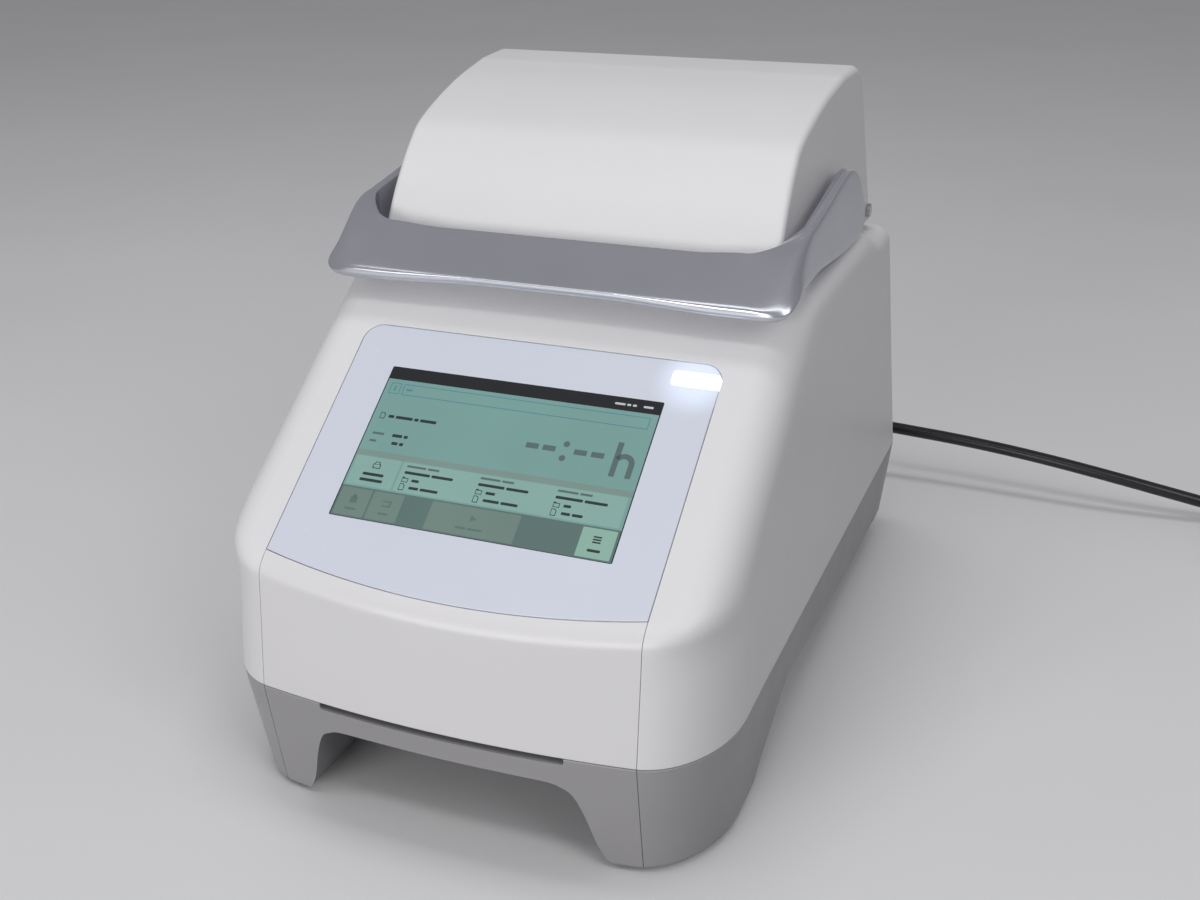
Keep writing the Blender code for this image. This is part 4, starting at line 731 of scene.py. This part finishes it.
def glass_outline(grow):
    half = GLASS_HALF + grow
    top = GLASS_LENGTH + grow
    radius = GLASS_CORNER_R + grow
    lower = [(half * i / 24, -grow - GLASS_SAG * (1.0 - (i / 24) ** 2)) for i in range(-24, 25)]
    return (lower + arc((half - radius, top - radius), radius, 0, 90, 10)
            + arc((radius - half, top - radius), radius, 90, 180, 10))


def make_housing():
    shell = bake(add_wall(loft("housing_shell", [housing_ring(*level) for level in housing_levels()], True)))
    panel = bpy.data.objects.new("front_fascia", shell.data.copy())
    bpy.context.scene.collection.objects.link(panel)
    opening = prism("display_opening", glass_outline(GAP + 0.1), "slope", -12.0, 12.0)
    wide, narrow = SEAM_X + GAP / 2, SEAM_X - GAP / 2
    room = box("panel_room", (-wide, -260, 40), (wide, -180, PANEL_TOP_Z[1]))
    limit = box("panel_limit", (-narrow, -260, SPLIT_Z - 5), (narrow, -181, PANEL_TOP_Z[0]))
    across, along = BLOCK_HOLE_HALF
    block = box("block_hole", (-across, BLOCK_Y - along, 225), (across, BLOCK_Y + along, 250))
    latch = box("latch_hole", *LATCH_HOLE)
    grille_low = tuple(-half for half in GRILLE_HALF)
    grille = prism("grille_room", rounded_rectangle(grille_low, GRILLE_HALF, GRILLE_CORNER_R), "rear",
                   -10.0, 10.0)
    combine(panel, "INTERSECT", [limit])
    combine(panel, "DIFFERENCE", [opening])
    bake(panel)
    bake(combine(shell, "DIFFERENCE", [opening, room, block, latch, grille]),
         opening, room, limit, block, latch, grille)
    dress(shell, MATERIALS["white"], "base", "upper_housing", slot="white")
    dress(panel, MATERIALS["panel_white"], "base", "front_panel", slot="panel_white")


make_housing()


# Display: cover glass, status light and the picture on the screen

INK, FAINT, DARK, FIELD, BAND, TILE, BAR, BUTTON, BRIGHT, LINE, PALE = range(11)
SCREEN_TONES = {    # colour and strength of its own light
    INK: ((0.020, 0.032, 0.034), 0.10),
    FAINT: ((0.080, 0.125, 0.120), 0.25),
    DARK: ((0.012, 0.013, 0.016), 0.05),
    FIELD: ((0.135, 0.255, 0.240), 0.42),
    BAND: ((0.150, 0.215, 0.195), 0.40),
    TILE: ((0.175, 0.305, 0.270), 0.42),
    BAR: ((0.075, 0.125, 0.115), 0.40),
    BUTTON: ((0.115, 0.170, 0.150), 0.40),
    BRIGHT: ((0.185, 0.320, 0.265), 0.45),
    LINE: ((0.060, 0.175, 0.215), 0.40),
    PALE: ((0.38, 0.41, 0.43), 0.40),
}

# Icons on the screen: an outline and the hollow inside it, in mm from a point at half their height
PAGE = (((0.0, -1.9), (2.8, -1.9), (2.8, 1.0), (1.8, 1.9), (0.0, 1.9)),
        ((0.35, -1.5), (2.4, -1.5), (2.4, 0.8), (1.6, 1.5), (0.35, 1.5)))
FOLDER = (((0.0, -1.4), (3.4, -1.4), (3.4, 1.0), (1.6, 1.0), (1.2, 1.5), (0.0, 1.5)),
          ((0.35, -1.05), (3.05, -1.05), (3.05, 0.6), (0.35, 0.6)))


class Screen:
    """Thin closed inlays drawn on the screen, in shares of its width and height from the lower left."""

    def __init__(self):
        self.shape = bmesh.new()

    def spot(self, a, b):
        return (-WINDOW_HALF + 2 * WINDOW_HALF * a, WINDOW_S[0] + (WINDOW_S[1] - WINDOW_S[0]) * b)

    def area(self, outline, layer, tone):
        add_prism(self.shape, outline, "slope", GLASS_PROUD - 0.15, GLASS_PROUD + 0.015 * (layer + 1), tone)

    def tile(self, a0, b0, a1, b1, layer, tone, radius=0.6):
        self.area(rounded_rectangle(self.spot(a0, b0), self.spot(a1, b1), radius, 3), layer, tone)

    def ring(self, a0, b0, a1, b1, layer, tone, inside, width=0.45):
        (u0, s0), (u1, s1) = self.spot(a0, b0), self.spot(a1, b1)
        self.area(rounded_rectangle((u0, s0), (u1, s1), 0.5, 3), layer, tone)
        hollow = rounded_rectangle((u0 + width, s0 + width), (u1 - width, s1 - width), 0.3, 3)
        self.area(hollow, layer + 1, inside)

    def words(self, a, b, widths, layer, tone, height=1.5):
        """A line of small print, shown as bars of word length."""
        u, s = self.spot(a, b)
        for width in widths:
            bar = rounded_rectangle((u, s - height / 2), (u + width, s + height / 2), height * 0.3, 2)
            self.area(bar, layer, tone)
            u += width + 0.9

    def icon(self, drawing, a, b, layer, tone, inside):
        u, s = self.spot(a, b)
        for lift, (outline, colour) in enumerate(zip(drawing, (tone, inside))):
            self.area([(u + du, s + ds) for du, ds in outline], layer + lift, colour)


def draw_screen():
    screen = Screen()
    screen.area(rounded_rectangle((-WINDOW_HALF, WINDOW_S[0]), (WINDOW_HALF, WINDOW_S[1]), 0.8, 3), 0, DARK)
    screen.tile(0.004, 0.004, 0.996, 0.915, 1, FIELD, 0.3)
    screen.words(0.835, 0.955, (5.4, 2.0, 2.0), 1, PALE, 1.2)
    screen.words(0.935, 0.955, (5.0,), 1, PALE, 1.2)
    screen.ring(0.022, 0.815, 0.062, 0.890, 2, LINE, FIELD)
    stroke = ((0.039, 0.835), (0.045, 0.835), (0.045, 0.87), (0.039, 0.87))
    screen.area([screen.spot(*corner) for corner in stroke], 4, LINE)
    screen.ring(0.072, 0.815, 0.972, 0.890, 2, LINE, FIELD)
    screen.words(0.085, 0.852, (3.6,), 4, LINE, 1.1)
    screen.icon(PAGE, 0.030, 0.665, 2, INK, FIELD)
    screen.words(0.062, 0.665, (3.2, 9.5, 2.4, 9.0), 2, INK, 1.7)
    screen.words(0.030, 0.545, (6.5,), 2, FAINT, 1.3)
    screen.words(0.030, 0.495, (3.8,), 2, FAINT, 1.3)
    screen.words(0.105, 0.545, (5.6, 2.2), 2, INK, 1.7)
    screen.words(0.114, 0.495, (3.4, 2.2), 2, INK, 1.7)
    for a in (0.585, 0.645, 0.755, 0.815):
        screen.tile(a, 0.598, a + 0.045, 0.632, 2, FAINT, 0.3)
    for b in (0.655, 0.565):
        screen.area(arc(screen.spot(0.7225, b), 1.7, 0, 330, 11), 2, FAINT)
    draw_hour_mark(screen)

    screen.tile(0.004, 0.395, 0.996, 0.432, 2, BAND, 0.1)
    screen.tile(0.012, 0.205, 0.180, 0.392, 2, TILE)
    screen.tile(0.188, 0.205, 0.985, 0.392, 2, TILE)
    screen.ring(0.083, 0.322, 0.112, 0.352, 3, INK, TILE)
    screen.ring(0.088, 0.345, 0.107, 0.366, 3, INK, TILE, 0.4)
    screen.words(0.058, 0.282, (11.5,), 3, INK, 1.6)
    screen.words(0.055, 0.245, (12.5,), 3, INK, 1.6)
    for a, first, second in ((0.205, (4.0,), (5.2, 9.6)), (0.475, (5.0,), (8.4, 8.8)),
                             (0.748, (3.8,), (4.6, 5.4))):
        screen.words(a, 0.368, (10.5, 6.2), 3, FAINT, 1.2)
        screen.words(a, 0.328, (13.8, 11.5), 3, INK, 1.5)
        screen.icon(FOLDER, a, 0.283, 3, INK, TILE)
        screen.words(a + 0.036, 0.283, first, 3, INK, 1.5)
        screen.icon(PAGE, a, 0.237, 3, INK, TILE)
        screen.words(a + 0.036, 0.237, second, 3, INK, 1.5)

    screen.tile(0.004, 0.004, 0.996, 0.195, 2, BAR, 0.2)
    for a0, a1 in ((0.010, 0.122), (0.130, 0.242), (0.345, 0.660)):
        screen.tile(a0, 0.012, a1, 0.185, 3, BUTTON)
    screen.tile(0.872, 0.012, 0.988, 0.185, 3, BRIGHT)
    screen.tile(0.054, 0.092, 0.080, 0.130, 4, BAR, 0.3)
    screen.tile(0.060, 0.125, 0.074, 0.145, 4, BAR, 0.3)
    screen.words(0.046, 0.055, (6.0,), 4, BAR, 1.2)
    screen.tile(0.172, 0.098, 0.204, 0.106, 4, BAR, 0.2)
    screen.tile(0.198, 0.098, 0.204, 0.136, 4, BAR, 0.2)
    screen.tile(0.172, 0.128, 0.204, 0.136, 4, BAR, 0.2)
    screen.words(0.170, 0.055, (5.4,), 4, BAR, 1.2)
    screen.area([screen.spot(0.494, 0.098), screen.spot(0.516, 0.118), screen.spot(0.494, 0.138)], 4, BAR)
    screen.words(0.452, 0.055, (5.4, 7.6), 4, BAR, 1.2)
    for b in (0.100, 0.116, 0.132):
        screen.tile(0.915, b, 0.943, b + 0.009, 4, INK, 0.2)
    screen.words(0.907, 0.055, (6.4,), 4, INK, 1.4)
    picture = make_object("screen_picture", screen.shape, 30)
    tones = [lit_surface("screen_tone_%d" % tone, *SCREEN_TONES[tone]) for tone in sorted(SCREEN_TONES)]
    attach(picture, "base")
    for tone in tones:
        picture.data.materials.append(tone)


def draw_hour_mark(screen):
    """The unit sign for hours after the time display."""
    (u0, s0), (u1, s1) = screen.spot(0.893, 0.500), screen.spot(0.968, 0.715)
    stroke = 2.9
    screen.area([(u0, s0), (u0 + stroke, s0), (u0 + stroke, s1), (u0, s1)], 2, FAINT)
    middle = ((u0 + u1) / 2, s0 + (s1 - s0) * 0.40)
    outer, inner = (u1 - u0) / 2, (u1 - u0) / 2 - stroke
    bow = arc(middle, outer, 0, 150, 12) + arc(middle, inner, 150, 0, 12)
    screen.area([(u1, s0)] + bow + [(u1 - stroke, s0)], 2, FAINT)


def make_display():
    under = GLASS_PROUD - GLASS_THICK
    glass = prism("cover_glass", glass_outline(0.0), "slope", under, GLASS_PROUD)
    room_low = (LIGHT_U[0] - GAP, LIGHT_S[0] - GAP)
    room_high = (LIGHT_U[1] + GAP + LIGHT_SPILL, LIGHT_S[1] + GAP)
    room = prism("light_room", rounded_rectangle(room_low, room_high, 2.0), "slope", -8.0, 8.0)
    round_edges(glass, 0.5)
    bake(combine(glass, "DIFFERENCE", [room]), room)
    dress(glass, glass_material(), "base", "display_glass", slot="glass")
    light = prism("status_light", rounded_rectangle((LIGHT_U[0], LIGHT_S[0]), (LIGHT_U[1], LIGHT_S[1]), 1.8),
                  "slope", under, GLASS_PROUD)
    round_edges(light, 0.4)
    dress(light, lit_surface("status_light", (0.80, 0.88, 1.0), 0.9, ripple=0.01), "base",
          "status_light_guide", slot="light")
    draw_screen()


make_display()


# Grey base

def base_ring(z, inset):
    down = (SPLIT_Z - z) / (SPLIT_Z - BASE_Z)
    plan = plan_ring(lambda x: FRONT_Y + x * x / (2 * FRONT_BULGE_R) + BASE_FRONT_TUCK * down + inset,
                     lambda y: side_x(y, SPLIT_Z) - BASE_SIDE_TUCK * down - inset,
                     REAR_Y - BASE_REAR_TUCK * down - inset,
                     [r - inset for r in LOWER_CORNER], REAR_CORNER_R - min(inset, 8.0))
    return [(x, y, z + BASE_REAR_RISE * fade(*BASE_RISE_Y, y) * max(down, 0.0)) for x, y in plan]


def base_levels(skin):
    """Sections of the base: its outer form with skin 0, and its hollow with the wall's thickness."""
    floor = BASE_Z + skin
    levels = []
    for k in range(7):
        angle = math.pi / 2 * k / 6
        levels.append((floor + BASE_EDGE * (1.0 - math.cos(angle)),
                       skin + BASE_EDGE * (1.0 - math.sin(angle))))
    levels += [(z, skin) for z in even(11.0, 62.0, 10)]
    if skin:
        return levels + [(SPLIT_Z + 10.0, skin)]
    return levels + rim_levels(SPLIT_Z - GAP / 2, -1.0)[::-1]


def smooth_arch(half):
    """Arch outline with its corners drawn round, from its foot to the middle."""
    return list(half[:2]) + [tuple(p) for p in smooth_path(half[1:], 5)[1:]]


def make_base():
    front = loft("base_arch", [base_ring(*level) for level in base_levels(0.0)])
    tub = bpy.data.objects.new("base_shell", front.data.copy())
    bpy.context.scene.collection.objects.link(tub)
    hollow = loft("base_hollow", [base_ring(*level) for level in base_levels(WALL)])
    arch = prism("front_arch", mirrored(smooth_arch(ARCH_HALF)), "xz", 80.0, 260.0)
    wide, narrow = SEAM_X + GAP / 2, SEAM_X - GAP / 2
    room = box("base_front_room", (-wide, -260, -10), (wide, FRONT_LEG_REAR_Y, 90))
    limit = box("base_front_limit", (-narrow, -260, -10), (narrow, -140, 90))
    side_arch = prism("side_arch", SIDE_ARCH, "yz", -200.0, 200.0)
    bay = box("connector_bay", (PANEL_X[0], 190, PANEL_Z[0]), (PANEL_X[1], 240, PANEL_Z[1]))
    pocket = prism("front_pocket", mirrored(ARCH_POCKET_HALF), "xz", 120.0, 230.0)
    bake(combine(pocket, "INTERSECT", [hollow]))
    groove = box("finger_groove", (-GROOVE_HALF, -260, SPLIT_Z - GROOVE_DEPTH),
                 (GROOVE_HALF, -204, SPLIT_Z + 5), 1.2)
    combine(front, "INTERSECT", [limit])
    bake(combine(front, "DIFFERENCE", [arch, pocket, groove]))
    bake(combine(tub, "DIFFERENCE", [hollow, room, side_arch, bay]),
         hollow, arch, room, limit, side_arch, bay, pocket, groove)
    dress(front, MATERIALS["base_grey"], "base", "base_front", slot="base_grey")
    dress(tub, MATERIALS["base_grey"], "base", "base_tub", slot="base_grey")


make_base()


# Lid

def lid_profile():
    """Side outline of the lid, from its front foot over the top to its rear foot, in Y and Z."""
    curve = [tuple(p) for p in smooth_path(LID_FRONT, 7)]
    foot_y, foot_z = LID_FOOT[0]
    corner_y = foot_y - math.tan(LID_REAR_LEAN) * (LID_TOP_Z - foot_z)
    reach = LID_REAR_TOP_R * math.tan((math.pi / 2 - LID_REAR_LEAN) / 2)
    centre = (corner_y - reach, LID_TOP_Z - LID_REAR_TOP_R)
    turn = arc(centre, LID_REAR_TOP_R, 90, math.degrees(LID_REAR_LEAN), 12)
    drop = [tuple(Vector(turn[-1]).lerp(Vector(LID_FOOT[0]), k / 8)) for k in range(1, 9)]
    return curve + turn + drop


def lid_half(y, z):
    return LID_SIDE[0] + LID_SIDE[1] * y + LID_SIDE[2] * z


def lid_ring(side, angle):
    """The lid's outline where its rounded side edge has turned by an angle from the top."""
    profile = [Vector(p) for p in lid_profile()]
    ring = []
    for i, point in enumerate(profile):
        along = profile[min(i + 1, len(profile) - 1)] - profile[max(i - 1, 0)]
        inward = Vector((along.y, -along.x)).normalized()
        if i in (0, len(profile) - 1):
            inward = Vector((1.0 if i == 0 else -1.0, 0.0))
        radius = LID_EDGE_R + (LID_REAR_EDGE_R - LID_EDGE_R) * fade(100.0, 135.0, point.x)
        y, z = point + inward * radius * (1.0 - math.cos(angle))
        ring.append((side * (lid_half(y, z) - radius * (1.0 - math.sin(angle))), y, z))
    return ring


def make_lid():
    angles = [math.pi / 2 * k / 10 for k in range(11)]
    edge_left, edge_right = lid_ring(-1, 0.0), lid_ring(1, 0.0)
    across = [[tuple(Vector(a).lerp(Vector(b), k / 14)) for a, b in zip(edge_left, edge_right)]
              for k in range(1, 14)]
    rings = [lid_ring(-1, a) for a in reversed(angles)] + across + [lid_ring(1, a) for a in angles]
    shape = bmesh.new()
    loops = [[shape.verts.new(mm(*p)) for p in ring] for ring in rings]
    for a, b in zip(loops, loops[1:]):
        for i in range(len(a) - 1):
            shape.faces.new((a[i], a[i + 1], b[i + 1], b[i]))
    for side, loop in ((-1, loops[0]), (1, loops[-1])):
        lower = [shape.verts.new(mm(side * lid_half(y, z), y, z)) for y, z in LID_FOOT[1:]]
        shape.faces.new(loop + lower)
    cover = bake(add_wall(make_object("lid_shell", shape)))
    tools = []
    for side in (-1, 1):
        low, high = sorted((side * (BRACKET_X[0] - 4), side * (BRACKET_X[1] + 2.5)))
        tools.append(box("bracket_notch", (low, NOTCH_Y[0], 220), (high, NOTCH_Y[1], HINGE[1] + NOTCH_TOP)))
        for name, axis, radius in (("lid_hinge_hole", HINGE, HINGE_PIN_R),
                                   ("lid_handle_hole", HANDLE_AXIS, HANDLE_PIN_R)):
            tools.append(rod(name, "X", (side * PIN_HOLE_X, *axis), radius + GAP, PIN_HOLE_LENGTH))
    bake(combine(cover, "DIFFERENCE", tools), *tools)
    dress(cover, MATERIALS["white"], "lid", "lid_cover", slot="white")


make_lid()


# Handle

def height_at(points, y):
    path = smooth_path(points, 8)
    for a, b in zip(path, path[1:]):
        if y <= b.x:
            return a.y + (b.y - a.y) * (y - a.x) / (b.x - a.x)
    return path[-1].y


def arm_section(y):
    top, low = height_at(ARM_TOP, y), height_at(ARM_LOW, y)
    e = min((top - low) / 12.0, 1.0)
    inner, outer = ARM_INNER, HANDLE_HALF
    return [(inner + 0.9, top - 0.4 * e), (outer - 2.8, top), (outer - 0.9, top - 2.2 * e),
            (outer - 0.3, low + 0.35 * (top - low)), (outer, low + 1.6 * e), (outer - 0.6, low + 0.2 * e),
            (outer - 2.0, low - 0.4 * e), (outer - 3.4, low - 0.4 * e), (inner + 2.6, low + 0.2 * e),
            (inner + 1.2, low + 0.4 * e), (inner, low + 1.6 * e), (inner, top - 1.8 * e)]


def handle_rings():
    """Sections of the handle from the right arm's rear end, round the bend, to the middle of the bar."""
    cx, cy = HANDLE_CORNER
    places = [98.0, 97.4, 96.6, 95.4] + even(94.0, 80.0, 7) + even(77.0, cy, 22)
    rings = [[(x, y, z) for x, z in arm_section(y)] for y in places]
    arm = arm_section(cy)
    turns = 27
    for step in range(1, turns):
        angle = math.pi / 2 * step / turns
        dip, rise = LIP_DIP * math.sin(angle) ** 2, CREST_RISE * math.sin(angle) ** 2
        flare = LIP_FLARE * math.sin(2 * angle)
        ring = []
        for (x, z_arm), (y, z_bar, power), lip, crest in zip(arm, BAR_SECTION, LIP_SHARE, CREST_SHARE):
            change = fade(0.0, 1.0 - LIP_LEAD * lip, step / turns)
            z = z_arm + (z_bar - z_arm) * change - dip * lip + rise * crest
            ring.append((cx + (x - cx) * math.cos(angle) ** power + flare * lip,
                         cy + (y - cy) * math.sin(angle) ** power, z))
        rings.append(ring)
    for x in even(cx, 0.0, 24):
        dip, rise = LIP_DIP * fade(30.0, cx, x), CREST_RISE * fade(70.0, cx, x)
        rings.append([(x, y, z - dip * lip + rise * crest)
                      for (y, z, _), lip, crest in zip(BAR_SECTION, LIP_SHARE, CREST_SHARE)])
    return rings


def make_handle():
    right = [smooth_path(ring, 4, closed=True) for ring in handle_rings()]
    rings = right + [[(-x, y, z) for x, y, z in ring] for ring in reversed(right[:-1])]
    shape = bmesh.new()
    loops = [[shape.verts.new(mm(*p)) for p in ring] for ring in rings]
    count = len(loops[0])
    for a, b in zip(loops, loops[1:]):
        for i in range(count):
            j = (i + 1) % count
            shape.faces.new((a[i], a[j], b[j], b[i]))
    shape.faces.new(loops[0])
    shape.faces.new(loops[-1])
    handle = make_object("handle_bow", shape, 45)
    tools = [rod("arm_bore", "X", (side * ARM_INNER, *HANDLE_AXIS), HANDLE_PIN_R + GAP, 8.0)
             for side in (-1, 1)]
    bake(combine(handle, "DIFFERENCE", tools), *tools, smooth_angle=45)
    dress(handle, MATERIALS["silver"], "handle", "handle", slot="silver")


make_handle()


# Block with its wells

def make_block():
    width, depth = BLOCK_HALF
    block = box("well_block", (-width, BLOCK_Y - depth, BLOCK_Z[0]), (width, BLOCK_Y + depth, BLOCK_Z[1]),
                0.6, 2)
    wells = bmesh.new()
    for column in range(WELL_COLUMNS):
        for row in range(WELL_ROWS):
            x = (column - (WELL_COLUMNS - 1) / 2) * WELL_PITCH
            y = BLOCK_Y + (row - (WELL_ROWS - 1) / 2) * WELL_PITCH
            spot = Matrix.Translation(mm(x, y, BLOCK_Z[1] - WELL_DEPTH / 2 + 0.25))
            bmesh.ops.create_cone(wells, cap_ends=True, segments=24, radius1=WELL_LOW_R * MM,
                                  radius2=WELL_TOP_R * MM, depth=(WELL_DEPTH + 0.5) * MM, matrix=spot)
    tool = make_object("wells", wells)
    bake(combine(block, "DIFFERENCE", [tool]), tool)
    dress(block, MATERIALS["block_silver"], "base", "sample_block", slot="block_silver")


make_block()


# Finishes of the nodes that are kept as they are

NODE_FINISHES = {   # material and how the names of its nodes start
    "black": ("block_frame", "fan_frame", "fan_rotor", "fuse_drawer", "lcd_module", "lid_tray", "mains_inlet",
              "power_switch"),
    "zinc": ("chassis_plate", "connector_panel", "display_frame", "power_supply", "pressure_plate"),
    "steel": ("handle_pin", "hinge_bracket", "hinge_pin", "latch", "lid_spring", "network_socket",
              "usb_socket"),
    "cord": ("mains_connector", "strain_relief", "wall_plug"),
    "rubber": ("foot",),
    "aluminium": ("heat_sink", "heated_plate"),
    "ceramic": ("peltier",),
    "board": ("main_board",),
    "seal": ("lid_gasket", "cord_tie"),
    "white": ("rear_grille",),
}


def finish_nodes():
    for name, node in frame["nodes"].items():
        for finish, starts in NODE_FINISHES.items():
            if name.startswith(starts):
                node.data.materials.clear()
                node.data.materials.append(MATERIALS[finish])


finish_nodes()
